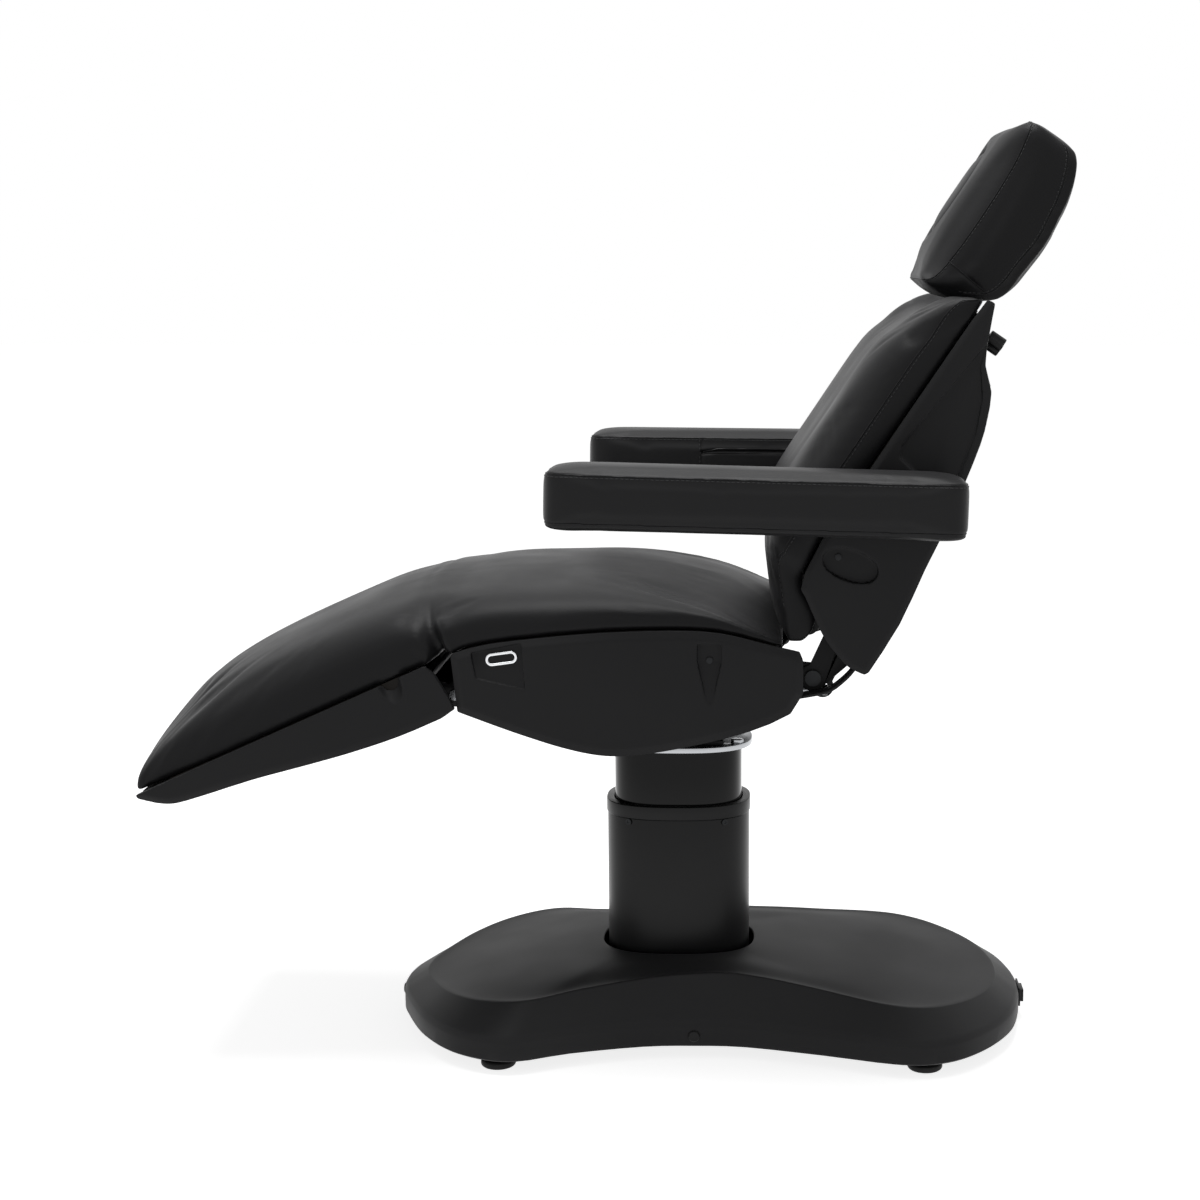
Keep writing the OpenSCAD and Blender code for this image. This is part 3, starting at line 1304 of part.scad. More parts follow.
module face_insert() {
    color("#222222") in_row() back_placed() translate([face_v, 0, face_m - face_d + soft_gap]) {
        linear_extrude(face_d - face_edge) polygon(super_oval(face_l, face_w, 2, 40));
        translate([0, 0, face_d - face_edge]) linear_extrude(face_lip)
            polygon(super_oval(face_l - 2 * face_lip, face_w - 2 * face_lip, 2, 40));
    }
}

// Armrests: a bush on the back's bar, a bracket with its pin, and the pad
bush_r = 20;
arm_pin_r = 12;
arm_plate_t = 10;
arm_plate_l = 130;
arm_plate_h = 56;
arm_in_y = panel_y + arm_gap;
module arm_bushes() {
    color("#4a4c4f") in_row() back_placed() both_sides()
        cross_tube(arm_along, arm_front, bush_r, arm_pin_r + run_gap, back_bar_y + back_bar_t,
            panel_y + arm_gap / 4);
}
// The arm's own frame: its pivot is the origin and -X runs to its front end
module arm_placed(slope) {
    translate([back_pivot_x + arm_along * cos(back_slope) - arm_front * sin(back_slope), 0,
               back_pivot_z + arm_along * sin(back_slope) + arm_front * cos(back_slope)])
                   rotate([0, slope, 0]) children();
}
arm_lift = 15;
module arm_bracket() {
    cross_bar(0, 0, arm_pin_r, back_bar_y + back_bar_t + gap, arm_in_y - arm_plate_t);
    box([-arm_plate_l + arm_plate_h / 2, arm_in_y - arm_plate_t, -arm_plate_h / 2 + arm_lift / 2],
        [arm_plate_h / 2, arm_in_y - gap / 4, arm_plate_h / 2 + arm_lift / 2]);
}
module arm_bracket_near() {
    color("#3a3c3e") in_row() mirror([0, 1, 0]) arm_placed(arm_near_slope) arm_bracket();
}
module arm_bracket_far() {
    color("#3a3c3e") in_row() arm_placed(arm_far_slope) arm_bracket();
}
arm_end_shares = [[0, 0.8], [0.006, 0.9], [0.02, 0.97], [0.05, 1], [0.5, 1], [0.95, 1], [0.98, 0.97],
    [0.994, 0.9], [1, 0.8]];
module arm_pad() {
    // Rings stand across the pad; the ends draw in to round corners
    translate([arm_back, arm_in_y + arm_w / 2, arm_lift - arm_h / 2]) loft([
        for (s = smooth(arm_end_shares, 2)) [for (p = arm_section(arm_w / 2 * s[1], arm_h * s[1]))
            [-s[0] * arm_l, p[0], p[1] + arm_h * (1 - s[1]) / 2]]
    ]);
}
function arm_section(half_w, h, power = 7) = [
    for (i = [0 : pad_count]) let (a = full_turn * (i + 0.5) / (pad_count + 1) - 90, c = cos(a), s = sin(a))
        [sign(c) * pow(abs(c), 2 / power) * half_w, h / 2 + sign(s) * pow(abs(s), 2 / power) * h / 2]
];
module arm_pad_near() {
    color("#262626") in_row() mirror([0, 1, 0]) arm_placed(arm_near_slope) arm_pad();
}
module arm_pad_far() {
    color("#262626") in_row() arm_placed(arm_far_slope) arm_pad();
}

base_plate();
base_cover();
levelling_feet();
cover_caps();
power_inlet();
control_box();
column_casing();
casing_collar();
collar_screws();
column_guides();
lift_actuator();
inner_column();
lift_rod();
column_flange();
flange_bolts();
tilt_bracket();
seat_frame();
tilt_pin();
seat_board();
seat_panel_near();
seat_panel_far();
bottom_cover();
pivot_guards();
seat_cushion();
leg_hinge_pins();
back_pivot_pins();
seat_panel_screws();
leg_actuator();
back_actuator();
leg_rod();
back_rod();
release_lever_near();
release_lever_far();
leg_frame();
leg_tray();
leg_board();
leg_cushion();
fold_cushion();
leg_screws();
back_frame();
back_shell();
back_panel_near();
back_panel_far();
back_cushion();
back_board();
stay_rods();
back_screws();
headrest_guides();
headrest_lock_knob();
headrest_bars();
headrest_plate();
headrest_pin();
headrest_cushion();
face_insert();
arm_bushes();
arm_bracket_near();
arm_bracket_far();
arm_pad_near();
arm_pad_far();
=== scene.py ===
"""Looks of the electric treatment chair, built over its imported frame.

The chair is a column-lift couch: a moulded base with a telescopic column, a tilting seat, a hinged
leg rest, a reclining back, two turning armrests and a sliding, tilting headrest.
"""

from __future__ import annotations

import json
import logging
import math
from collections.abc import Callable, Iterable, Sequence
from dataclasses import dataclass, field
from enum import Enum

import bmesh
import bpy
import numpy as np
from mathutils import Matrix, Vector
from mathutils.bvhtree import BVHTree
from mathutils.kdtree import KDTree

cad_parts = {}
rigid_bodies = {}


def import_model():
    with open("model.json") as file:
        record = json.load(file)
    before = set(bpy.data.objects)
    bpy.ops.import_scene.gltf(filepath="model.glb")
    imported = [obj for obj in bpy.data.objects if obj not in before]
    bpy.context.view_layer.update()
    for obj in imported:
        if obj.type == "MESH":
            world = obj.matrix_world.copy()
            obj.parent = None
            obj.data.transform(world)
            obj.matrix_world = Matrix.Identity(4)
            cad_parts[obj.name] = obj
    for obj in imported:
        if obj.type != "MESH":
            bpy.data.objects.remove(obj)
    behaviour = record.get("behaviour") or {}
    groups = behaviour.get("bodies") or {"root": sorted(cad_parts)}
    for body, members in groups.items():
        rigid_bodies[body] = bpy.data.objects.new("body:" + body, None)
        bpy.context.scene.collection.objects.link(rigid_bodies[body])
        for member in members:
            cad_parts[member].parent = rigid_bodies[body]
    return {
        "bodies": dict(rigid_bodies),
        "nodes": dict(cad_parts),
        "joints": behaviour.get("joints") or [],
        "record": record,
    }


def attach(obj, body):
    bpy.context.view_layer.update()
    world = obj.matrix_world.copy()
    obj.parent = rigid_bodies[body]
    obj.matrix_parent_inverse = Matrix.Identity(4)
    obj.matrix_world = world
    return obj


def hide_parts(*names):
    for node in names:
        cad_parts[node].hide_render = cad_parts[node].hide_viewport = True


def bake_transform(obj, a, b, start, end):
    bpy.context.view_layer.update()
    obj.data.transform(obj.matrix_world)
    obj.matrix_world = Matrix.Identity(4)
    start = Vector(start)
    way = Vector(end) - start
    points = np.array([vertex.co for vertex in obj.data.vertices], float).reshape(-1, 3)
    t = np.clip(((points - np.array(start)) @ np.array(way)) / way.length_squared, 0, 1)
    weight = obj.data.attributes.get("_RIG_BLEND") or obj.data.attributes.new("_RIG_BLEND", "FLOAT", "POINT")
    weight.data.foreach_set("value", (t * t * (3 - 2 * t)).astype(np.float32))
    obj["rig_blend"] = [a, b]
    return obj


LOG = logging.getLogger("treatment_chair")
MM = 0.001
CLOTH_QUALITY = 4
CLOTH_MASS = 0.3
EVEN_BEFORE = 4
EVEN_AFTER = 3
Pair = tuple[float, float]
Ring = list[Vector]


# ---------------------------------------------------------------- finishes


def linear(code: str) -> tuple[float, float, float, float]:
    """Turns an sRGB hex code into a linear colour.

    Args:
        code: Six hex digits, without a hash.

    Returns:
        Red, green, blue and an alpha of 1, in linear light.
    """
    parts = [int(code[i : i + 2], 16) / 255 for i in (0, 2, 4)]
    r, g, b = (c / 12.92 if c <= 0.04045 else ((c + 0.055) / 1.055) ** 2.4 for c in parts)
    return r, g, b, 1.0


def add_node(
    tree: bpy.types.NodeTree,
    kind: str,
    settings: dict[str, object] | None = None,
    inputs: dict[str | int, object] | None = None,
) -> bpy.types.Node:
    """Adds a node with its settings and its links.

    Args:
        tree: The node tree that gets the node.
        kind: The node's Blender type name.
        settings: Properties of the node itself.
        inputs: Values for its sockets, or the output sockets that feed them.

    Returns:
        The new node.
    """
    node = tree.nodes.new(kind)
    for key, value in (settings or {}).items():
        setattr(node, key, value)
    for key, value in (inputs or {}).items():
        if isinstance(value, bpy.types.NodeSocket):
            tree.links.new(value, node.inputs[key])
        else:
            node.inputs[key].default_value = value
    return node


class Texture(Enum):
    """How a finish's surface was made, which sets its bump."""

    PEBBLE = "pressed pebble grain"
    SPARK = "spark-eroded mould grain"
    POWDER = "orange peel of a sprayed coat"
    BRUSHED = "drawn or turned lines"
    PLY = "rotary-cut veneer"
    SMOOTH = "polished"


@dataclass(frozen=True)
class Finish:
    """A finish: its material, its colours and how its surface was made."""

    name: str
    colour: str
    second: str
    roughness: float
    texture: Texture
    grain_mm: float
    depth_mm: float
    patch_mm: float = 90.0
    metallic: float = 0.0
    specular: float = 0.5
    coat: float = 0.0
    coat_roughness: float = 0.05
    sheen: float = 0.0
    rough_spread: float = 0.06

    def material(self) -> bpy.types.Material:
        """Makes the finish's material once, and gives the same one after that."""
        found = bpy.data.materials.get(self.name)
        return found if found else self._make()

    def _make(self) -> bpy.types.Material:
        """Builds the node tree of the finish.

        Returns:
            The new material.
        """
        made = bpy.data.materials.new(self.name)
        made.use_nodes = True
        tree = made.node_tree
        tree.nodes.clear()
        coords = add_node(tree, "ShaderNodeTexCoord").outputs["Object"]
        # Slow change over the surface, as in handled or moulded pieces
        patches = add_node(
            tree,
            "ShaderNodeTexNoise",
            None,
            {"Vector": coords, "Scale": 1000 / self.patch_mm, "Detail": 3.0, "Roughness": 0.55},
        )
        colour = add_node(
            tree,
            "ShaderNodeMix",
            {"data_type": "RGBA"},
            {"Factor": patches.outputs["Fac"], 6: linear(self.colour), 7: linear(self.second)},
        )
        rough = add_node(
            tree,
            "ShaderNodeMapRange",
            None,
            {
                "Value": patches.outputs["Fac"],
                "From Min": 0.3,
                "From Max": 0.7,
                "To Min": self.roughness - self.rough_spread,
                "To Max": self.roughness + self.rough_spread,
            },
        )
        shader = add_node(
            tree,
            "ShaderNodeBsdfPrincipled",
            None,
            {
                "Base Color": colour.outputs[2],
                "Roughness": rough.outputs["Result"],
                "Metallic": self.metallic,
                "Specular IOR Level": self.specular,
                "Coat Weight": self.coat,
                "Coat Roughness": self.coat_roughness,
                "Sheen Weight": self.sheen,
                "Sheen Roughness": 0.4,
            },
        )
        height = self._height(tree, coords)
        if height is not None:
            bump = add_node(
                tree,
                "ShaderNodeBump",
                None,
                {"Height": height, "Distance": self.depth_mm * MM, "Strength": 1.0},
            )
            tree.links.new(bump.outputs["Normal"], shader.inputs["Normal"])
        add_node(tree, "ShaderNodeOutputMaterial", None, {"Surface": shader.outputs["BSDF"]})
        made.diffuse_color = linear(self.colour)
        return made

    def _height(
        self, tree: bpy.types.NodeTree, coords: bpy.types.NodeSocket
    ) -> bpy.types.NodeSocket | None:
        """Draws the finish's relief.

        Args:
            tree: The material's node tree.
            coords: Object coordinates, in metres.

        Returns:
            The socket that carries the relief's height, or None on a smooth finish.
        """
        scale = 1000 / self.grain_mm
        if self.texture is Texture.SMOOTH:
            return None
        if self.texture is Texture.PEBBLE:
            cells = add_node(
                tree,
                "ShaderNodeTexVoronoi",
                {"feature": "SMOOTH_F1"},
                {"Vector": coords, "Scale": scale, "Smoothness": 0.6, "Randomness": 1.0},
            )
            creases = add_node(
                tree,
                "ShaderNodeTexNoise",
                None,
                {"Vector": coords, "Scale": scale / 5, "Detail": 5.0, "Roughness": 0.6},
            )
            both = add_node(
                tree,
                "ShaderNodeMath",
                {"operation": "MULTIPLY_ADD"},
                {0: creases.outputs["Fac"], 1: 0.8, 2: cells.outputs["Distance"]},
            )
            return both.outputs[0]
        if self.texture in (Texture.BRUSHED, Texture.PLY):
            along = (scale * 0.03, scale, scale) if self.texture is Texture.PLY else (scale, scale,
                scale * 0.02)
            stretched = add_node(
                tree, "ShaderNodeMapping", None, {"Vector": coords, "Scale": along}
            )
            lines = add_node(
                tree,
                "ShaderNodeTexNoise",
                None,
                {"Vector": stretched.outputs[0], "Scale": 1.0, "Detail": 4.0, "Roughness": 0.6},
            )
            return lines.outputs["Fac"]
        detail = 2.0 if self.texture is Texture.POWDER else 6.0
        grain = add_node(
            tree,
            "ShaderNodeTexNoise",
            None,
            {"Vector": coords, "Scale": scale, "Detail": detail, "Roughness": 0.65},
        )
        return grain.outputs["Fac"]


# PU-coated knit, pressed with a fine pebble grain. The real grain is about 0.7 mm across and is
# drawn coarser, so that it still breaks up the highlights.
LEATHERETTE = Finish("pu_leatherette_black", "1c1c1d", "222223", 0.44, Texture.PEBBLE, 1.6, 0.10,
    140, specular=0.12, sheen=0.02)
# The headrest insert and the arms are covered from another roll, a little more matt.
LEATHERETTE_MATT = Finish("pu_leatherette_black_matt", "1a1a1b", "1f1f20", 0.46, Texture.PEBBLE,
    1.6, 0.10, 120, specular=0.18, sheen=0.02)
# Spun polyester thread, dull and a little lighter than the cover.
THREAD = Finish("spun_polyester_thread", "2e2e2f", "3a3a3b", 0.6, Texture.BRUSHED, 0.5, 0.05, 20,
    specular=0.3, sheen=0.1)
# Injection-moulded ABS with a spark-eroded grain of about 0.3 mm, drawn at 0.9 mm.
PANEL_PLASTIC = Finish("moulded_abs_black", "1e1e1f", "222223", 0.5, Texture.SPARK, 0.9, 0.05, 220,
    specular=0.16)
# The base cover is vacuum-formed and coarser, so it scatters more and looks greyer.
BASE_PLASTIC = Finish("vacuum_formed_abs_black", "242425", "29292a", 0.52, Texture.SPARK, 1.3,
    0.10, 260, specular=0.18)
# Black PP for small trim and hidden covers.
TRIM_PLASTIC = Finish("moulded_polypropylene_black", "161617", "1b1b1c", 0.4, Texture.SPARK, 0.8,
    0.03, 60, specular=0.2)
# Extruded aluminium tube under a satin powder coat.
CASING_COAT = Finish("powder_coated_aluminium_black", "101011", "141415", 0.33, Texture.POWDER,
    1.6, 0.03, 300, specular=0.2)
# Polished and lacquered steel tube, which mirrors the floor and the seat.
GLOSS_COLUMN = Finish("gloss_lacquered_steel_black", "040405", "070708", 0.08, Texture.POWDER, 6.0,
    0.03, 200, specular=0.14, coat=0.1, coat_roughness=0.03, rough_spread=0.02)
# Bright zinc-plated steel plate.
ZINC = Finish("zinc_plated_steel", "a9abae", "bcbec1", 0.32, Texture.BRUSHED, 0.8, 0.02, 40,
    metallic=1.0)
# Welded steel under black powder coat, seen only in the gaps.
FRAME_COAT = Finish("powder_coated_steel_black", "0c0c0d", "121213", 0.45, Texture.POWDER, 1.8,
    0.05, 90, specular=0.15)
# Polished nickel-chromium plate.
CHROME = Finish("polished_chrome_plate", "d6d8da", "e2e3e5", 0.07, Texture.SMOOTH, 1.0, 0.0, 30,
    metallic=1.0, rough_spread=0.02)
# Ground steel rod, with fine lines round it.
ROD_STEEL = Finish("ground_steel_rod", "9b9da0", "b2b4b7", 0.22, Texture.BRUSHED, 0.6, 0.01, 40,
    metallic=1.0)
# Blackened steel screws and pins.
DARK_STEEL = Finish("black_oxide_steel", "1c1d1e", "28292b", 0.36, Texture.SPARK, 0.6, 0.02, 20,
    metallic=0.6, specular=0.3, rough_spread=0.08)
# Cast rubber of the feet.
RUBBER = Finish("moulded_rubber_black", "141414", "1a1a1a", 0.62, Texture.SPARK, 1.2, 0.06, 40,
    specular=0.3)
# Birch plywood under the cushions, coloured near black as painted shade: its edges show in the gaps under
# the cushions, and the dark colour stands in for the shade there.
PLYWOOD = Finish("birch_plywood_painted_gap_shade", "151311", "1e1a17", 0.6, Texture.PLY, 1.2, 0.1, 60,
    specular=0.15)
# Milky nylon of the column's guides.
NYLON = Finish("natural_nylon", "cfcdc2", "dad8ce", 0.4, Texture.SPARK, 0.8, 0.02, 40,
    specular=0.45)
# Painted die-cast bodies of the motors and the control box.
MOTOR_COAT = Finish("painted_motor_housing", "1d1e20", "252629", 0.45, Texture.POWDER, 2.0, 0.04,
    60, specular=0.25)


# ---------------------------------------------------------------- frames of the moving parts


@dataclass(frozen=True)
class Frames:
    """The chair's own frames at rest, as the part's source has them."""

    leg_hinge: Pair = (-228.0, 578.0)
    leg_slope: float = 24.3
    back_pivot: Pair = (312.0, 613.0)
    back_slope: float = 56.0
    arm_along: float = 280.0
    arm_front: float = 49.0
    panel_y: float = 303.0

    def leg(self) -> Matrix:
        """Gives the leg rest's frame: -X to its tip."""
        return self._turned(self.leg_hinge, -self.leg_slope)

    def back(self) -> Matrix:
        """Gives the back's frame: +X to its top, +Z to the sitter."""
        return self._turned(self.back_pivot, -self.back_slope)

    def arm(self, slope: float) -> Matrix:
        """Gives an arm's frame: its pivot is the origin and -X runs to its front end."""
        return self._turned(self.arm_pivot(), slope)

    def arm_pivot(self) -> Pair:
        """Gives the arms' pivot as X and Z, in millimetres."""
        a = math.radians(self.back_slope)
        return (
            self.back_pivot[0] + self.arm_along * math.cos(a) - self.arm_front * math.sin(a),
            self.back_pivot[1] + self.arm_along * math.sin(a) + self.arm_front * math.cos(a),
        )

    @staticmethod
    def _turned(origin: Pair, degrees: float) -> Matrix:
        """Gives a frame in millimetres, turned about Y at a point of the XZ plane."""
        place = Matrix.Translation((origin[0], 0.0, origin[1]))
        return place @ Matrix.Rotation(math.radians(degrees), 4, "Y")


FRAMES = Frames()


# ---------------------------------------------------------------- modelling helpers


def deselect() -> None:
    """Leaves edit mode and deselects every object."""
    if bpy.context.object and bpy.context.object.mode != "OBJECT":
        bpy.ops.object.mode_set(mode="OBJECT")
    bpy.ops.object.select_all(action="DESELECT")


def activate(piece: bpy.types.Object) -> None:
    """Makes a piece the only selected one, and the active one."""
    deselect()
    piece.select_set(True)
    bpy.context.view_layer.objects.active = piece


def edit(piece: bpy.types.Object, mode: str = "VERT") -> None:
    """Opens a piece in edit mode with all of it selected."""
    activate(piece)
    bpy.ops.object.mode_set(mode="EDIT")
    bpy.ops.mesh.select_mode(type=mode)
    bpy.ops.mesh.select_all(action="SELECT")


def close() -> None:
    """Leaves edit mode."""
    bpy.ops.object.mode_set(mode="OBJECT")


def named(name: str) -> bpy.types.Object:
    """Names the object that was just added."""
    piece = bpy.context.object
    piece.name = name
    piece.data.name = name
    return piece


def modify(piece: bpy.types.Object, kind: str, settings: dict[str, object]) -> None:
    """Adds a modifier to a piece and applies it.

    Args:
        piece: The piece.
        kind: The modifier's Blender type name.
        settings: Its properties.
    """
    activate(piece)
    modifier = piece.modifiers.new(kind.lower(), kind)
    for key, value in settings.items():
        setattr(modifier, key, value)
    bpy.ops.object.modifier_apply(modifier=modifier.name)


def settle(piece: bpy.types.Object, matrix: Matrix | None = None) -> None:
    """Moves a piece's own place into its mesh, so that its object sits at the origin.

    Args:
        piece: The piece.
        matrix: A further placing, in metres, that comes after its own.
    """
    total = (matrix if matrix is not None else Matrix.Identity(4)) @ piece.matrix_world
    piece.data.transform(total)
    piece.matrix_world = Matrix.Identity(4)
    if total.determinant() < 0:
        piece.data.flip_normals()
    piece.data.update()


def metres(frame: Matrix) -> Matrix:
    """Turns a frame written in millimetres into one in metres."""
    made = frame.copy()
    made.translation = frame.translation * MM
    return made


def smooth(piece: bpy.types.Object, degrees: float = 35.0) -> None:
    """Shades a piece smooth, with edges above an angle left sharp."""
    activate(piece)
    bpy.ops.object.shade_smooth_by_angle(angle=math.radians(degrees))


def place(
    piece: bpy.types.Object,
    body: str,
    finish: Finish,
    slot: str,
    stands_for: Sequence[str] = (),
) -> bpy.types.Object:
    """Dresses a finished piece and ties it to its body.

    Args:
        piece: The piece, with its place in its mesh.
        body: The CAD body that it rides on.
        finish: Its finish.
        slot: The record's material slot that it follows; not used.
        stands_for: The CAD nodes that it replaces.

    Returns:
        The same piece.
    """
    piece.data.materials.clear()
    piece.data.materials.append(finish.material())
    if "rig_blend" not in piece:
        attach(piece, body)
    if stands_for:
        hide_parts(*stands_for)
    LOG.info("%s on %s: %d faces, %s", piece.name, body, len(piece.data.polygons), finish.name)
    return piece


def copy_of(node: bpy.types.Object, name: str, whole_faces: bool = True) -> bpy.types.Object:
    """Copies a CAD node and merges its loose triangles into whole faces.

    Args:
        node: The CAD node, which is left alone.
        name: The copy's name.
        whole_faces: Whether flat faces are dissolved into single ones.

    Returns:
        The copy.
    """
    deselect()
    piece = bpy.data.objects.new(name, node.data.copy())
    piece.data.name = name
    bpy.context.scene.collection.objects.link(piece)
    if piece.data.has_custom_normals:
        activate(piece)
        bpy.ops.mesh.customdata_custom_splitnormals_clear()
    edit(piece)
    bpy.ops.mesh.remove_doubles(threshold=0.02 * MM)
    if whole_faces:
        bpy.ops.mesh.dissolve_limited(angle_limit=math.radians(0.6))
    close()
    return piece


def rounded(piece: bpy.types.Object, width_mm: float, segments: int = 3,
        degrees: float = 32.0) -> None:
    """Rounds every edge above an angle, and shades the piece smooth."""
    modify(
        piece,
        "BEVEL",
        {
            "width": width_mm * MM,
            "segments": segments,
            "limit_method": "ANGLE",
            "angle_limit": math.radians(degrees),
            "harden_normals": False,
            "miter_outer": "MITER_ARC",
        },
    )
    smooth(piece, 40)


def wrapped_grid(name: str, rings: Sequence[Sequence[Vector]],
        caps: bool = True) -> bpy.types.Object:
    """Wraps a grid round a row of closed rings of equal count, in metres.

    Args:
        name: The piece's name.
        rings: The rings, each with its points in order.
        caps: Whether the two ends are filled.

    Returns:
        A closed skin, or a tube if its ends stay open.
    """
    around, along = len(rings[0]), len(rings)
    deselect()
    bpy.ops.mesh.primitive_grid_add(x_subdivisions=around, y_subdivisions=along - 1, size=1)
    piece = named(name)
    flat = [p for ring in rings for p in [*ring, ring[0]]]
    piece.data.vertices.foreach_set("co", np.array(flat, np.float32).ravel())
    edit(piece)
    bpy.ops.mesh.remove_doubles(threshold=0.01 * MM)
    if caps:
        bpy.ops.mesh.select_all(action="DESELECT")
        bpy.ops.mesh.select_non_manifold()
        bpy.ops.mesh.edge_face_add()
        bpy.ops.mesh.select_all(action="SELECT")
    bpy.ops.mesh.normals_make_consistent(inside=False)
    close()
    return piece


def spline(points: Sequence[Sequence[float]], per_span: int) -> np.ndarray:
    """Draws a smooth curve through points.

    Args:
        points: The points that it passes.
        per_span: How many steps there are between neighbours.

    Returns:
        The curve's points, one row each.
    """
    p = np.array(points, float)
    rows = []
    for i in range(len(p) - 1):
        a, b, c, d = p[max(i - 1, 0)], p[i], p[i + 1], p[min(i + 2, len(p) - 1)]
        for k in range(per_span):
            t = k / per_span
            rows.append(
                (2 * b + (c - a) * t + (2 * a - 5 * b + 4 * c - d) * t**2 + (3 * b - a - 3 * c + d)
                * t**3) / 2
            )
    rows.append(p[-1])
    return np.array(rows)


def merged(name: str, pieces: Sequence[bpy.types.Object]) -> bpy.types.Object:
    """Joins pieces into one and names it."""
    activate(pieces[0])
    for piece in pieces[1:]:
        piece.select_set(True)
    bpy.ops.object.join()
    return named(name)


def copies(piece: bpy.types.Object, places: Iterable[Matrix]) -> bpy.types.Object:
    """Sets copies of a small piece at several places, and joins them.

    Args:
        piece: The piece, which is used up.
        places: A placing for each copy, in metres.

    Returns:
        One piece with every copy in it.
    """
    name, made = piece.name, []
    for i, matrix in enumerate(places):
        twin = bpy.data.objects.new(f"{name}_{i}", piece.data.copy())
        bpy.context.scene.collection.objects.link(twin)
        settle(twin, matrix)
        made.append(twin)
    bpy.data.objects.remove(piece)
    return merged(name, made)


# ---------------------------------------------------------------- soft goods


@dataclass
class Form:
    """A padded form on its way from its cut shape to its stuffed one."""

    piece: bpy.types.Object
    voxel_mm: float
    cap_mm: float
    held: Callable[[np.ndarray], np.ndarray]
    pressure: float = 4.0
    rest: np.ndarray = field(default_factory=lambda: np.zeros((0, 3)))


def places_of(piece: bpy.types.Object) -> np.ndarray:
    """Reads a mesh's points, one row each, in metres."""
    co = np.zeros(len(piece.data.vertices) * 3, np.float32)
    piece.data.vertices.foreach_get("co", co)
    return co.reshape(-1, 3).astype(float)


def normals_of(piece: bpy.types.Object) -> np.ndarray:
    """Reads a mesh's point normals, one row each."""
    rows = np.zeros(len(piece.data.vertices) * 3, np.float32)
    piece.data.vertex_normals.foreach_get("vector", rows)
    return rows.reshape(-1, 3).astype(float)


def set_places(piece: bpy.types.Object, co: np.ndarray) -> None:
    """Writes a mesh's points."""
    piece.data.vertices.foreach_set("co", co.astype(np.float32).ravel())
    piece.data.update()


def stuff(forms: Sequence[Form], frames: int = 20) -> None:
    """Remeshes padded forms and swells them together with cloth pressure.

    The forms are simulated side by side. Each point's movement is capped, held points stay, and
    one level of subdivision follows.

    Args:
        forms: The forms, in their cut shape.
        frames: How many frames the swelling takes.
    """
    for form in forms:
        activate(form.piece)
        form.piece.data.remesh_voxel_size = form.voxel_mm * MM
        form.piece.data.use_remesh_fix_poles = False
        bpy.ops.object.voxel_remesh()
        modify(form.piece, "SMOOTH", {"factor": 0.5, "iterations": EVEN_BEFORE})
        form.rest = places_of(form.piece)
    scene = bpy.context.scene
    for form in forms:
        held = form.piece.vertex_groups.new(name="held")
        weights = np.clip(form.held(form.rest), 0, 1)
        for level in np.unique(np.round(weights, 1)):
            chosen = np.nonzero(np.round(weights, 1) == level)[0]
            if level > 0:
                held.add([int(i) for i in chosen], float(level), "REPLACE")
        cloth = form.piece.modifiers.new("swell", "CLOTH")
        cloth.settings.quality = CLOTH_QUALITY
        cloth.settings.mass = CLOTH_MASS
        cloth.settings.use_pressure = True
        cloth.settings.uniform_pressure_force = form.pressure
        cloth.settings.effector_weights.gravity = 0
        cloth.settings.vertex_group_mass = "held"
        cloth.point_cache.frame_start, cloth.point_cache.frame_end = 1, frames
    for frame in range(1, frames + 1):
        scene.frame_set(frame)
    for form in forms:
        activate(form.piece)
        bpy.ops.object.modifier_apply(modifier="swell")
        moved = places_of(form.piece) - form.rest
        length = np.linalg.norm(moved, axis=1, keepdims=True)
        cap = form.cap_mm * MM
        share = np.where(length > 1e-9, cap * np.tanh(length / cap) / np.maximum(length, 1e-9),
            0)
        set_places(form.piece, form.rest + moved * share)
        form.piece.vertex_groups.clear()
        LOG.info("%s swells by up to %.1f mm", form.piece.name, float(length.max()) / MM)
    scene.frame_set(1)
    for form in forms:
        modify(form.piece, "SMOOTH", {"factor": 0.5, "iterations": EVEN_AFTER})
        modify(form.piece, "SUBSURF", {"levels": 1, "render_levels": 1})
        activate(form.piece)
        bpy.ops.object.shade_smooth()


def push(piece: bpy.types.Object, depth: Callable[[np.ndarray, np.ndarray], np.ndarray]) -> None:
    """Moves a soft piece's points along their normals, as a thumb does.

    Args:
        piece: The piece.
        depth: Gives each point's outward move in millimetres, from the points and their normals.
    """
    co, normals = places_of(piece), normals_of(piece)
    set_places(piece, co + normals * (depth(co, normals) * MM)[:, None])


def in_back(co: np.ndarray) -> np.ndarray:
    """Turns points in metres into the back's own frame, in millimetres."""
    back = metres(FRAMES.back()).inverted()
    return (co @ np.array(back.to_3x3()).T + np.array(back.translation)) / MM


def resampled(points: Sequence[Vector], step: float, closed: bool = False) -> list[Vector]:
    """Sets points at even steps along a line.

    Args:
        points: The line's points, in metres.
        step: The distance between the new ones.
        closed: Whether the line's end joins its start.

    Returns:
        The new points.
    """
    line = [Vector(p) for p in points] + ([Vector(points[0])] if closed else [])
    lengths = np.concatenate([[0], np.cumsum([(b - a).length for a, b in zip(line, line[1:])])])
    count = max(2, round(float(lengths[-1]) / step))
    at = np.linspace(0, lengths[-1], count + 1)
    rows = np.array([tuple(p) for p in line])
    made = np.stack([np.interp(at, lengths, rows[:, k]) for k in range(3)], axis=1)
    return [Vector(p) for p in (made[:-1] if closed else made)]


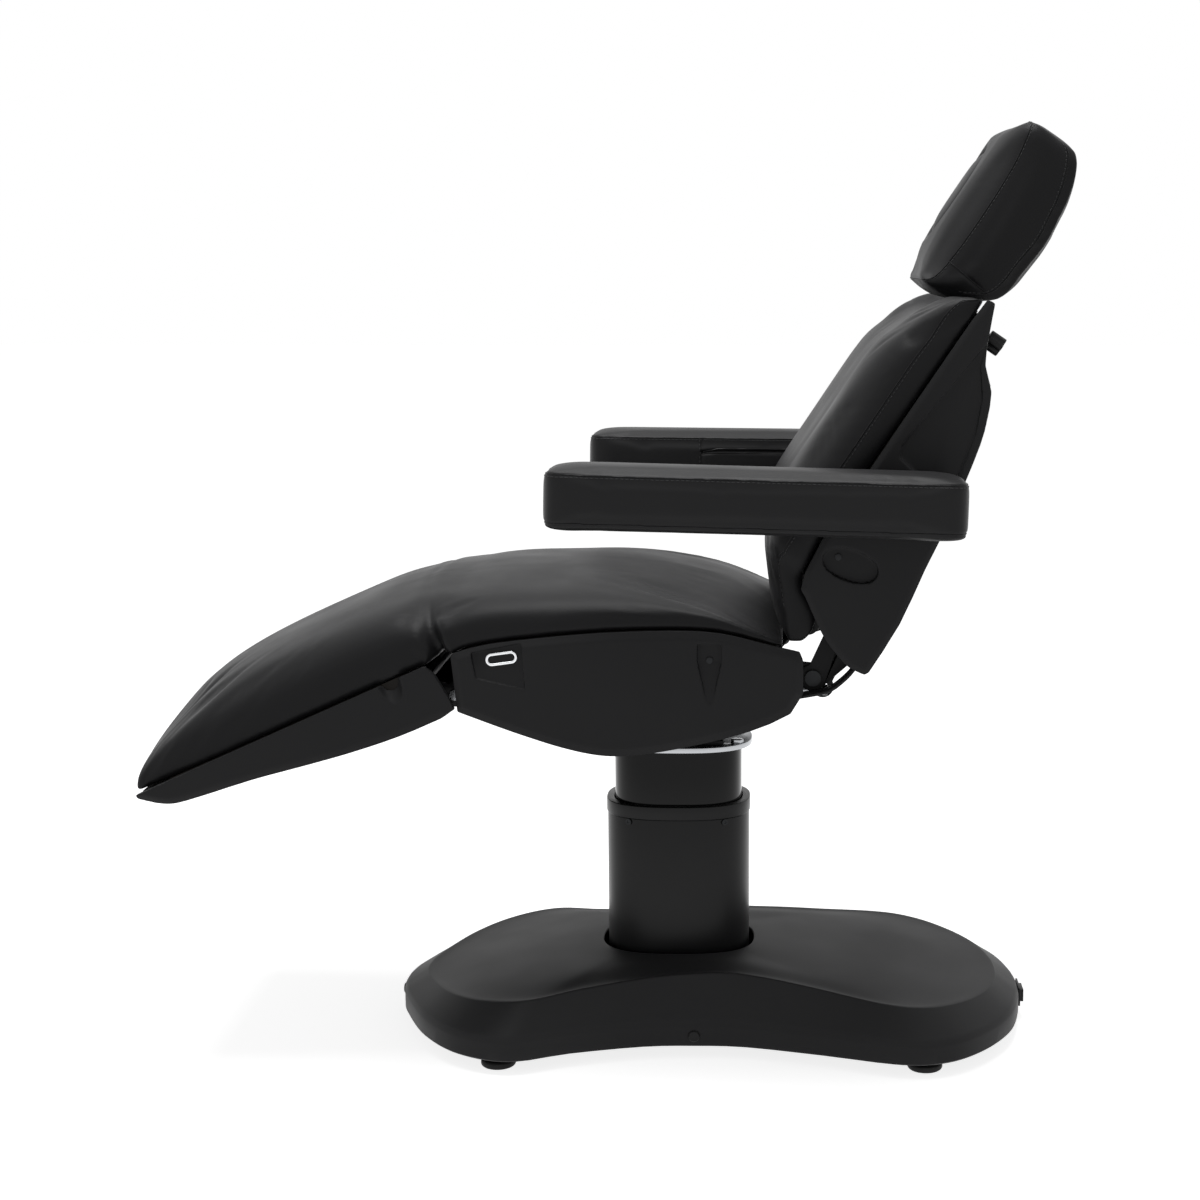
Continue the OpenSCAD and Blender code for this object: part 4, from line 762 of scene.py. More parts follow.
@dataclass(frozen=True)
class Sewing:
    """A sewn seam: a turned edge in a shallow groove, and a row of stitches beside it."""

    edge_mm: float = 1.0
    groove_mm: float = 1.6
    reach_mm: float = 5.0
    stitch_mm: float = 4.6
    pitch_mm: float = 7.0
    thread_mm: float = 0.55

    def press(self, piece: bpy.types.Object, lines: Sequence[Sequence[Vector]]) -> None:
        """Presses the seam's groove into a soft piece."""
        dots = [p for line in lines for p in resampled(line, 0.002)]
        tree = KDTree(len(dots))
        for i, dot in enumerate(dots):
            tree.insert(dot, i)
        tree.balance()
        reach = self.reach_mm * MM

        def depth(co: np.ndarray, _: np.ndarray) -> np.ndarray:
            """Gives the groove's depth at each point."""
            away = np.array([tree.find(Vector(p))[2] for p in co])
            share = np.clip(1 - (away / reach) ** 2, 0, 1)
            return -self.groove_mm * share**2

        push(piece, depth)

    def edge(self, name: str, skin: BVHTree, line: Sequence[Vector],
            closed: bool) -> bpy.types.Object:
        """Lays the seam's turned edge as a thin cord on a surface.

        Args:
            name: The piece's name.
            skin: The surface.
            line: The seam's line.
            closed: Whether the line is a loop.

        Returns:
            The edge as a mesh.
        """
        rows = [skin.find_nearest(p) for p in resampled(line, 0.006, closed)]
        path = [hit[0] + hit[1] * (self.edge_mm * 0.15 * MM) for hit in rows]
        curve = bpy.data.curves.new(name, "CURVE")
        curve.dimensions = "3D"
        curve.bevel_depth = self.edge_mm * MM
        curve.bevel_resolution = 1
        track = curve.splines.new("POLY")
        track.points.add(len(path) - 1)
        for point, p in zip(track.points, path):
            point.co = (*p, 1)
        track.use_cyclic_u = closed
        cord = bpy.data.objects.new(name, curve)
        bpy.context.scene.collection.objects.link(cord)
        activate(cord)
        bpy.ops.object.convert(target="MESH")
        cord = named(name)
        smooth(cord, 60)
        return cord

    def stitches(
        self, name: str, skin: BVHTree, line: Sequence[Vector], closed: bool = False
    ) -> bpy.types.Object:
        """Sews a row of stitches on a surface, each a short thread that dips at its ends.

        Args:
            name: The piece's name.
            skin: The surface.
            line: The row's line.
            closed: Whether the line is a loop.

        Returns:
            All the stitches as one mesh.
        """
        spots = resampled(line, self.pitch_mm * MM, closed)
        hits = [skin.find_nearest(p) for p in spots]
        deselect()
        bpy.ops.mesh.primitive_cylinder_add(
            vertices=6, radius=self.thread_mm * MM, depth=self.stitch_mm * MM,
            end_fill_type="TRIFAN"
        )
        thread = named(name)
        for v in thread.data.vertices:
            v.co.z *= 1.12 if v.co.xy.length < 1e-6 else 1
        turned = []
        for i, (spot, normal, _, _) in enumerate(hits):
            ahead = hits[(i + 1) % len(hits)][0] - spot if (closed or i + 1 <
                len(hits)) else spot - hits[i - 1][0]
            along = (ahead - normal * ahead.dot(normal)).normalized()
            across = normal.cross(along)
            basis = Matrix((across, normal, along)).transposed().to_4x4()
            turned.append(Matrix.Translation(spot + normal * (self.thread_mm * 0.25 * MM)) @ basis)
        sewn = copies(thread, turned)
        smooth(sewn, 60)
        return sewn


SEWING = Sewing()


def skin_of(piece: bpy.types.Object) -> BVHTree:
    """Gives a search tree of a piece's surface."""
    bpy.context.view_layer.update()
    return BVHTree.FromObject(piece, bpy.context.evaluated_depsgraph_get())


def section(half_w: float, h: float, draw: float, dish: float, power: float,
        count: int) -> list[Pair]:
    """Draws half of a cushion's cross-section, from its near foot over its top to its far foot.

    Args:
        half_w: Half its width.
        h: Its height.
        draw: How far the feet are drawn in.
        dish: How far its middle lies below its shoulders; negative for a crown.
        power: How boxy it is.
        count: The number of steps.

    Returns:
        Points as a distance across the chair and a height.
    """
    made = []
    for i in range(count + 1):
        a = math.pi * i / count
        c = -math.copysign(abs(math.cos(a)) ** (2 / power), math.cos(a))
        s = max(0.0, math.sin(a)) ** (2 / power)
        wide = half_w - draw * (1 - s) ** 2
        made.append((c * wide, h * s - dish * max(0.0, 1 - c * c * 1.5) ** 2 * s))
    return made


def to_world(frame: Matrix, rings: Sequence[Sequence[Sequence[float]]]) -> list[Ring]:
    """Turns rings in a part's own frame, in millimetres, into rings in metres."""
    return [[(frame @ Vector(p)) * MM for p in ring] for ring in rings]


@dataclass
class LoungeCushion:
    """The one cover over the seat and the leg rest, with its fold at the leg hinge."""

    seat_low: Pair = (-221.0, 509.0)
    seat_size: Pair = (518.0, 182.0)
    rim: Sequence[Pair] = ((0, 0.8), (0.06, 0.855), (0.145, 0.9), (0.285, 0.945), (0.43, 0.98),
        (0.62, 1), (0.765, 0.98), (0.905, 0.885), (0.99, 0.83))
    seat_pad: Sequence[Pair] = ((-0.0128, 0.42), (0.06, 0.395), (0.15, 0.37), (0.29, 0.33),
        (0.44, 0.3), (0.6, 0.26), (0.7, 0.235), (0.79, 0.19), (0.86, 0.14), (0.92, 0.085),
        (0.945, 0.045))
    leg_pad: Sequence[Pair] = ((0.0007, 0.9), (0.1, 0.98), (0.25, 1), (0.45, 1), (0.62, 0.96),
        (0.76, 0.88), (0.86, 0.76), (0.93, 0.61), (0.975, 0.44), (0.993, 0.26))
    leg_l: float = 490.0
    leg_rim: float = 67.5
    leg_h: float = 98.0
    half_w: float = 300.0
    fold_steps: int = 8
    count: int = 48

    def rim_z(self, x: float) -> float:
        """Gives the side panels' rim height at a place along the seat."""
        line = spline(self.rim, 3)
        at = self.seat_low[0] + line[:, 0] * self.seat_size[0]
        return float(np.interp(x, at, self.seat_low[1] + line[:, 1] * self.seat_size[1]))

    def build(self) -> Form:
        """Lofts the cut shape from the leg rest's tip to the seat's rear end."""
        rings: list[Ring] = []
        leg = FRAMES.leg()
        for s, share in spline(self.leg_pad, 4)[::-1]:
            half = self.half_w - 20 * s**6
            cut = section(half, share * self.leg_h, 10, -11 * share, 4, self.count)
            rings += to_world(leg, [[(-s * self.leg_l, y, self.leg_rim + z) for y, z in cut]])
        x0 = self.seat_low[0] + self.seat_pad[0][0] * self.seat_size[0]
        low = (67.5, self.rim_z(x0) + 0.5 - FRAMES.leg_hinge[1])
        top = (self.leg_rim + 0.9 * self.leg_h, low[1] + self.seat_pad[0][1] * self.seat_size[1])
        for k in range(1, self.fold_steps):
            t = k / self.fold_steps
            a = math.radians(FRAMES.leg_slope * t)
            foot = low[0] + (low[1] - low[0]) * t
            height = top[0] + (top[1] - top[0]) * t - foot
            nip = math.sin(math.pi * t)
            cut = section(self.half_w - 5 * nip, height, 10 + 14 * nip, -11, 4 - 0.8 * nip,
                self.count)
            rings += to_world(leg, [[((foot + z) * math.sin(a), y, (foot + z) * math.cos(a)) for y,
                z in cut]])
        for s, share in spline(self.seat_pad, 4):
            x, h = self.seat_low[0] + s * self.seat_size[0], share * self.seat_size[1]
            cut = section(self.half_w, h, 10, -12 * min(1, h / 60), 4, self.count)
            rings += to_world(Matrix.Identity(4),
                [[(x, y, self.rim_z(x) + 0.5 + z) for y, z in cut]])
        piece = wrapped_grid("lounge_cushion", rings)
        return Form(piece, 7.0, 9.0, self.held)

    def held(self, co: np.ndarray) -> np.ndarray:
        """Holds the cover where it is stapled under the rim, and at its thin rear end."""
        x, z = co[:, 0] / MM, co[:, 2] / MM
        hinge_x, hinge_z = FRAMES.leg_hinge
        a = math.radians(FRAMES.leg_slope)
        up = -(x - hinge_x) * math.sin(a) + (z - hinge_z) * math.cos(a)
        line = spline(self.rim, 3)
        rim = np.interp(x, self.seat_low[0] + line[:, 0] * self.seat_size[0],
            self.seat_low[1] + line[:, 1] * self.seat_size[1])
        above = np.where(x < hinge_x, up - self.leg_rim, z - rim)
        return np.clip(1.6 - above / 8, 0, 1)

    def fold(self, co: np.ndarray, normals: np.ndarray) -> np.ndarray:
        """Creases the cover at the hinge, deep at its sides and faint on its top."""
        x, y, z = (co[:, k] / MM for k in range(3))
        dx, dz = x - FRAMES.leg_hinge[0], z - FRAMES.leg_hinge[1]
        a = math.radians(FRAMES.leg_slope * 0.5)
        along = dx * math.cos(a) + dz * math.sin(a)
        up = -dx * math.sin(a) + dz * math.cos(a)
        side = np.clip((np.abs(y) - 215) / 80, 0, 1) ** 2
        lean = along + 0.22 * (up - 110) - 5 * np.sin(y / 46)
        crease = np.exp(-((lean / 7.5) ** 2))
        lips = np.exp(-(((lean - 17) / 9) ** 2)) + 0.8 * np.exp(-(((lean + 18) / 10) ** 2))
        # Short gathers that run away from the crease near each side
        fan = np.exp(-((along / 42) ** 2)) * side
        gathers = np.sin((up * 0.9 + along * 0.5) / 5.5) * fan
        return -(1.0 + 9.5 * side) * crease + (0.5 + 2.6 * side) * lips + 0.7 * gathers

    def dress(self, form: Form) -> None:
        piece = form.piece
        push(piece, self.fold)
        push(piece, lambda co, n: 0.5 * np.sin(co[:, 0] * 21 + 3 * np.sin(co[:, 1] * 9)) *
            np.sin(co[:, 1] * 17 + 1) * np.clip(n[:, 2], 0, 1))
        a = math.radians(FRAMES.leg_slope / 2)
        centre = Vector((FRAMES.leg_hinge[0], 0, FRAMES.leg_hinge[1])) * MM
        ahead = Vector((-math.cos(a), 0, -math.sin(a))) * 0.05
        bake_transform(piece, "seat", "leg_rest", start=centre - ahead, end=centre + ahead)
        place(piece, "seat", LEATHERETTE, "black_leatherette",
            ("seat_cushion", "fold_cushion", "leg_cushion"))


@dataclass
class BackCushion:
    """The back's cushion: two bolsters, a dished middle and a sewn side band."""

    length: float = 600.0
    base: float = 111.5
    height: float = 84.0
    dish: float = 15.0
    narrow_y: float = 288.0
    wide_y: float = 300.0
    tops: Sequence[Pair] = (
        (0.05, -0.54), (0.0667, -0.196), (0.092, 0.03), (0.122, 0.315), (0.173, 0.65),
        (0.213, 0.875), (0.267, 1), (0.317, 1.05),
        (0.53, 1.06), (0.75, 1.05), (0.833, 0.89), (0.89, 0.815), (0.932, 0.72), (0.953, 0.62),
        (0.972, 0.49), (0.993, 0.1),
    )
    feet: Sequence[Pair] = ((0.05, -0.59), (0.0667, -0.78), (0.092, -0.82), (0.122, -0.77),
        (0.15, -0.66), (0.173, -0.3), (0.2, -0.1), (0.25, -0.05), (0.317, 0), (1, 0))
    scoop: float = 34.0
    scoop_half: float = 200.0
    seam_m: float = 150.0
    count: int = 48

    def foot_at(self, s: float) -> float:
        """Gives the foot's height at a share of the length."""
        line = np.array(self.feet)
        return self.base + float(np.interp(s, line[:, 0], line[:, 1])) * self.height

    def drawn(self, s: float, y: float) -> float:
        """Gives how far the top end is drawn in behind the headrest."""
        return self.scoop * max(0.0,
            (s - 0.82) / 0.18) * (1 - min(1.0, abs(y) / self.scoop_half) ** 8)

    def build(self) -> Form:
        """Lofts the cut shape from its lower to its upper end."""
        rings = []
        for s, share in spline(self.tops, 4):
            foot, top = self.foot_at(s), self.base + share * self.height
            half = self.narrow_y + (self.wide_y -
                self.narrow_y) * float(np.clip((s - 0.2) / 0.03, 0, 1))
            over = section(half, top - foot, 10, self.dish * float(np.clip(share, 0, 1)), 4.2,
                self.count)
            under = [(y * (1 - 10 / half), 0.0) for y, _ in over[-2:0:-1]]
            rings.append([(s * self.length - self.drawn(s, y), y, foot + z) for y,
                z in over + under])
        piece = wrapped_grid("back_cushion_cover", to_world(FRAMES.back(), rings))
        return Form(piece, 6.0, 7.0, self.held)

    def held(self, co: np.ndarray) -> np.ndarray:
        """Holds the underside on its board."""
        return np.clip((self.base + 5 - in_back(co)[:, 2]) / 6, 0, 1)

    def seams(self) -> list[list[Vector]]:
        """Gives the near and the far seam, from the lower end over the top end."""
        made = []
        tops = spline(self.tops, 4)
        for side in (-1, 1):
            line = []
            for s, share in tops:
                top = self.base + share * self.height
                if s < 0.1:
                    continue
                half = self.wide_y if s > 0.21 else self.narrow_y
                m = min(self.seam_m, top - 14 * max(0.2, 1 - (s / 0.99) ** 20))
                line.append((FRAMES.back() @ Vector((s * self.length + 2, side * half, m))) * MM)
            made.append(line)
        return made

    def dress(self, form: Form) -> None:
        piece, frame = form.piece, FRAMES.back()
        lines = self.seams()
        SEWING.press(piece, lines)
        skin = skin_of(piece)
        down = (frame.to_3x3() @ Vector((0, 0, -1))) * 4.6 * MM
        for side, line in zip(("near", "far"), lines):
            cord = SEWING.edge(f"back_seam_{side}", skin, line, False)
            place(cord, "backrest", LEATHERETTE, "black_leatherette")
            row = SEWING.stitches(f"back_stitches_{side}", skin, [p + down for p in line])
            place(row, "backrest", THREAD, "black_leatherette")
        place(piece, "backrest", LEATHERETTE, "black_leatherette", ("back_cushion",))


@dataclass
class Headrest:
    """The headrest: a crowned front panel over a side band, and a loose oval insert."""

    low_v: float = 574.0
    length: float = 284.0
    rear: float = 68.0
    depth: float = 122.0
    half_w: float = 150.0
    face_v: float = 722.0
    face_size: Pair = (158.0, 104.0)
    stations: Sequence[tuple[float, float, float, float]] = (
        (0, 0.746, 1.06, 1.06), (0.01, 0.68, 1.07, 1.09), (0.046, 0.443, 1, 1.105),
        (0.092, 0.25, 0.97, 1.14), (0.137, 0.123, 0.955, 1.17),
        (0.208, 0.057, 0.94, 1.205), (0.324, 0.025, 0.926, 1.245), (0.518, 0, 0.926, 1.258),
        (0.708, 0.06, 0.947, 1.25),
        (0.8, 0.11, 0.97, 1.245), (0.873, 0.17, 1, 1.225), (0.937, 0.24, 1.03, 1.17),
        (0.975, 0.295, 1.049, 1.1), (1, 0.36, 1.04, 1.06),
    )
    count: int = 64

    def half_at(self, s: float) -> float:
        """Gives half the width at a share of the length."""
        end = 1 - min(1.0, min(s, 1 - s) * 12)
        return self.half_w - 10 * end**2

    def ring(self, s: float, rear: float, seam: float,
            crown: float) -> list[tuple[float, float, float]]:
        """Draws the cross-section at a share of the length."""
        half, h, rise = self.half_at(s), (seam - rear) * self.depth, (crown - seam) * self.depth
        made = []
        for i in range(self.count + 1):
            a = math.pi * i / self.count
            c = -math.copysign(abs(math.cos(a)) ** (2 / 9), math.cos(a))
            up = max(0.0, math.sin(a)) ** (2 / 9)
            y = c * (half - 8 * (1 - up) ** 2)
            made.append((self.low_v + s * self.length, y,
                self.rear + rear * self.depth + h * up + rise * (1 - c * c) * up))
        return made

    def build(self) -> Form:
        """Lofts the cushion's cut shape."""
        rings = [self.ring(*row) for row in spline(self.stations, 4)]
        piece = wrapped_grid("headrest_cover", to_world(FRAMES.back(), rings))
        return Form(piece, 4.0, 3.5, lambda co: np.zeros(len(co)))

    def oval(self, grow: float, count: int = 72) -> list[Pair]:
        """Gives the points of the face opening's oval, grown all round."""
        turns = [2 * math.pi * i / count for i in range(count)]
        a, b = self.face_size[0] / 2 + grow, self.face_size[1] / 2 + grow
        return [(self.face_v + a * math.cos(t), b * math.sin(t)) for t in turns]

    def lip(self, co: np.ndarray, normals: np.ndarray) -> np.ndarray:
        """Turns the front panel down into the face opening."""
        p = in_back(co)
        a, b = self.face_size[0] / 2, self.face_size[1] / 2
        away = (np.hypot((p[:, 0] - self.face_v) / a, p[:, 1] / b) - 1) * (a + b) / 2
        front = np.clip((p[:, 2] - 150) / 20, 0, 1)
        return -9.0 * np.clip(1 - np.maximum(away, 0) / 15, 0, 1) ** 2.2 * front

    def cut_opening(self, piece: bpy.types.Object) -> None:
        """Cuts the oval hole for the insert, with a floor deep inside."""
        deselect()
        bpy.ops.mesh.primitive_cylinder_add(vertices=96, radius=1, depth=1)
        tool = named("face_opening_cutter")
        low, high = 158.0, 260.0
        grow = 1.2
        scale = Matrix.Diagonal((self.face_size[0] / 2 + grow, self.face_size[1] / 2 + grow,
            high - low, 1))
        settle(tool, metres_scaled(FRAMES.back() @
            Matrix.Translation((self.face_v, 0, (low + high) / 2)) @ scale))
        modify(piece, "BOOLEAN", {"operation": "DIFFERENCE", "object": tool, "solver": "EXACT"})
        bpy.data.objects.remove(tool)

    def insert(self) -> bpy.types.Object:
        """Makes the removable oval insert, domed and rounded into its slit."""
        rings = []
        profile = ((156, -1.5), (170, -1.2), (196, -1.2), (205, -1.6), (210.5, -3.2),
            (214.5, -6.5), (217.2, -12), (219.2, -20), (220.8, -30), (221.8, -42))
        for m, grow in profile:
            rings.append([(v, y, m) for v, y in self.oval(grow)])
        piece = wrapped_grid("face_insert_pad", to_world(FRAMES.back(), rings))
        modify(piece, "SUBSURF", {"levels": 2, "render_levels": 2})
        activate(piece)
        bpy.ops.object.shade_smooth()
        return piece

    def loop(self, inward: float, drop: float) -> list[Vector]:
        """Gives the front seam's loop, moved in from the edge and down the side band."""
        rows = spline(self.stations, 4)
        near = [(self.low_v + s * self.length, -self.half_at(s) + inward,
            self.rear + seam * self.depth - drop) for s, _, seam, _ in rows]
        far = [(v, -y, m) for v, y, m in near[::-1]]
        return [(FRAMES.back() @ Vector(p)) * MM for p in near + far]

    def side_line(self, side: int, rise: float) -> list[Vector]:
        """Gives the rear seam's line on one side, a little above the rear edge."""
        rows = [r for r in spline(self.stations, 4) if r[0] > 0.05]
        pts = [(self.low_v + s * self.length, side * self.half_at(s),
            self.rear + rear * self.depth + rise) for s, rear, _, _ in rows]
        return [(FRAMES.back() @ Vector(p)) * MM for p in pts]

    def gathers(self, co: np.ndarray, normals: np.ndarray) -> np.ndarray:
        """Puckers the front panel beside its seam."""
        p = in_back(co)
        rows = spline(self.stations, 4)
        seam = self.rear + np.interp((p[:, 0] - self.low_v) / self.length, rows[:, 0],
            rows[:, 2]) * self.depth
        near = np.exp(-(((self.half_w - np.abs(p[:, 1]) - 9) / 8) ** 2)) * np.clip((p[:, 2] - seam
            + 2) / 6, 0, 1)
        runs = np.sin(p[:, 0] / 3.1 + 1.6 * np.sin(p[:, 0] / 23)) * (0.55 + 0.45 *
            np.sin(p[:, 0] / 37))
        return 0.55 * near * runs

    def dress(self, form: Form) -> None:
        piece = form.piece
        push(piece, self.gathers)
        push(piece, self.lip)
        front = self.loop(0, 0)
        sides = [self.side_line(-1, 15), self.side_line(1, 15)]
        cross = [self.cross_line(-1), self.cross_line(1)]
        SEWING.press(piece, [front + front[:1], *sides, *cross])
        self.cut_opening(piece)
        smooth(piece, 50)
        skin = skin_of(piece)
        for name, line, closed in (("front", front, True), ("rear_near", sides[0], False),
                ("rear_far", sides[1], False), ("cross_near", cross[0], False),
                ("cross_far", cross[1], False)):
            place(SEWING.edge(f"headrest_seam_{name}", skin, line, closed), "headrest",
                LEATHERETTE, "black_leatherette")
        rows = {"front": self.loop(-0.5, 4.6), "rear_near": self.side_line(-1, 19.5),
            "rear_far": self.side_line(1, 19.5)}
        for name, line in rows.items():
            place(SEWING.stitches(f"headrest_stitches_{name}", skin, line, name == "front"),
                "headrest", THREAD, "black_leatherette")
        place(piece, "headrest", LEATHERETTE, "black_leatherette", ("headrest_cushion",))
        pad = place(self.insert(), "face_pad", LEATHERETTE_MATT, "black_leatherette",
            ("face_insert",))

    def cross_line(self, side: int) -> list[Vector]:
        """Gives the seam across the side band near the lower end."""
        pts = [(620.0, 184.0), (618.0, 160.0), (614.0, 130.0), (611.0, 98.0)]
        return [(FRAMES.back() @ Vector((v, side * self.half_w, m))) * MM for v, m in pts]


def metres_scaled(frame: Matrix) -> Matrix:
    """Turns a placing written in millimetres, scale included, into metres."""
    return Matrix.Diagonal((MM, MM, MM, 1)) @ frame


@dataclass
class Armrest:
    """One arm pad: a boxed cushion with a crowned top panel and a slit pocket on its inner side."""

    side: int
    slope: float
    body: str
    node: str
    length: float = 593.0
    width: float = 115.0
    height: float = 88.0
    rear: float = 96.0
    lift: float = 15.0
    gap: float = 17.0
    corner: float = 26.0
    crown: float = 9.0
    pocket_x: float = -300.0

    @property
    def label(self) -> str:
        """Names the side."""
        return "near" if self.side < 0 else "far"

    def middle(self) -> float:
        """Gives the pad's middle across the chair."""
        return self.side * (FRAMES.panel_y + self.gap + self.width / 2)

    def half_at(self, d: float) -> float:
        """Gives half the width at a distance from an end."""
        r = self.corner
        return self.width / 2 - (r - math.sqrt(max(0.0, r * r - (r - min(d, r)) ** 2)))

    def crest(self, y: float, d: float) -> float:
        """Gives the top panel's rise over the seam."""
        return self.crown * (1 - min(1.0, abs(y) / (self.width / 2)) ** 2.4) * (1 -
            (1 - min(1.0, d / 70)) ** 3)

    def build(self) -> Form:
        """Lofts the cut shape from the rear to the front end."""
        ends = [0.0, 0.8, 2.5, 5.5, 10.0, 16.0, 24.0, 34.0, 48.0, 70.0]
        spots = ends + list(np.linspace(95, self.length - 95, 24)) + [self.length - e for e in
            ends[::-1]]
        low, seam = self.lift - self.height / 2, self.height - self.crown
        rings = []
        for x in spots:
            d = min(x, self.length - x)
            half = self.half_at(d)
            inset = 2.0 * max(0.0, 1 - d / 6)
            foot = 7.0
            ring = [(-half + foot, 0.0), (-half + 2, 2.0), (-half, foot)]
            ring += [(-half, z) for z in np.linspace(18, seam - 6, 5)] + [(-half + 0.5, seam)]
            ring += [(y, seam + self.crest(y, d)) for y in np.linspace(-half + 4, half - 4, 18)]
            ring += [(half - 0.5, seam)] + [(half, z) for z in np.linspace(seam - 6, 18, 5)]
            ring += [(half, foot), (half - 2, 2.0), (half - foot, 0.0)]
            rings.append([(self.rear - x, self.middle() + y,
                low + z - (inset if z > 40 else -inset)) for y, z in ring])
        piece = wrapped_grid(f"arm_cushion_{self.label}", to_world(FRAMES.arm(self.slope), rings))
        return Form(piece, 4.5, 2.5, lambda co: np.zeros(len(co)), pressure=3.0)

    def plan(self, grow: float, z: float) -> list[Vector]:
        """Gives a loop round the pad at a height over its foot."""
        pts = []
        r = self.corner
        for cx, cy, start in ((-r, 1, 0), (-self.length + r, 1, 90), (-self.length + r, -1, 180),
                (-r, -1, 270)):
            for k in range(9):
                a = math.radians(start + k * 90 / 8)
                pts.append((self.rear + cx + (r + grow) * math.cos(a),
                    self.middle() + cy * (self.width / 2 - r) + (r + grow) * math.sin(a),
                    self.lift - self.height / 2 + z))
        return [(FRAMES.arm(self.slope) @ Vector(p)) * MM for p in pts]

    def inner_line(self, points: Sequence[Pair]) -> list[Vector]:
        """Gives a line on the pad's inner side, from places along it and heights over its foot."""
        y = self.side * (FRAMES.panel_y + self.gap)
        low = self.lift - self.height / 2
        return [(FRAMES.arm(self.slope) @ Vector((x, y, low + z))) * MM for x, z in points]

    def dress(self, form: Form) -> None:
        piece, seam = form.piece, self.height - self.crown
        top, foot = self.plan(0, seam), self.plan(0, 8)
        upright = self.inner_line([(self.pocket_x, seam), (self.pocket_x, 8)])
        slit = self.inner_line([(self.pocket_x + 2, seam - 27), (self.pocket_x + 26, seam - 24),
            (self.pocket_x + 90, seam - 24), (self.pocket_x + 300, seam - 25)])
        SEWING.press(piece, [top + top[:1], foot + foot[:1], upright])
        Sewing(groove_mm=7.0, reach_mm=5.5).press(piece, [slit])
        skin = skin_of(piece)
        sew = f"arm_{self.label}"
        place(SEWING.edge(f"{sew}_seam_top", skin, top, True), self.body, LEATHERETTE_MATT,
            "black_leatherette")
        place(SEWING.edge(f"{sew}_seam_foot", skin, foot, True), self.body, LEATHERETTE_MATT,
            "black_leatherette")
        place(SEWING.stitches(f"{sew}_stitches_top", skin, self.plan(0, seam - 4.8), True),
            self.body, THREAD, "black_leatherette")
        place(SEWING.stitches(f"{sew}_stitches_pocket", skin,
            [p + Vector((-0.0045, 0, 0)) for p in upright]), self.body, THREAD, "black_leatherette")
        for name, rise in (("upper", 4.4), ("lower", -4.4)):
            lip = [p + Vector((0, 0, rise * MM * (0.15 if i == 0 else 1))) for i,
                p in enumerate(slit)]
            place(Sewing(edge_mm=1.6).edge(f"{sew}_pocket_{name}", skin, lip, False), self.body,
                LEATHERETTE_MATT, "black_leatherette")
        place(piece, self.body, LEATHERETTE_MATT, "black_leatherette", (self.node,))


# ---------------------------------------------------------------- hard parts


@dataclass(frozen=True)
class Book:
    """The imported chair: its nodes, and the body and the material slot of each."""

    nodes: dict[str, bpy.types.Object]
    body: dict[str, str]
    slot: dict[str, str]

    @classmethod
    def of(cls, frame: dict) -> Book:
        """Reads the loaded frame.


        Returns:
            The book of its nodes.
        """
        record = frame["record"]
        bodies = record["behaviour"]["bodies"]
        return cls(
            frame["nodes"],
            {node: body for body, nodes in bodies.items() for node in nodes},
            {row["node"]: row["material_slot"] for row in record["subparts"]},
        )

    def dress(self, piece: bpy.types.Object, node: str, finish: Finish) -> bpy.types.Object:
        """Lets a finished piece stand for a node, on that node's body."""
        return place(piece, self.body[node], finish, self.slot[node], (node,))

    def rounded_copy(self, node: str, finish: Finish, width_mm: float, segments: int = 3,
            degrees: float = 32.0) -> bpy.types.Object:
        """Stands a copy with rounded edges in for a node."""
        piece = copy_of(self.nodes[node], f"{node}_made")
        rounded(piece, width_mm, segments, degrees)
        return self.dress(piece, node, finish)

    def coat(self, node: str, finish: Finish) -> None:
        """Gives a node its finish as it is."""
        piece = self.nodes[node]
        piece.data.materials.clear()
        piece.data.materials.append(finish.material())


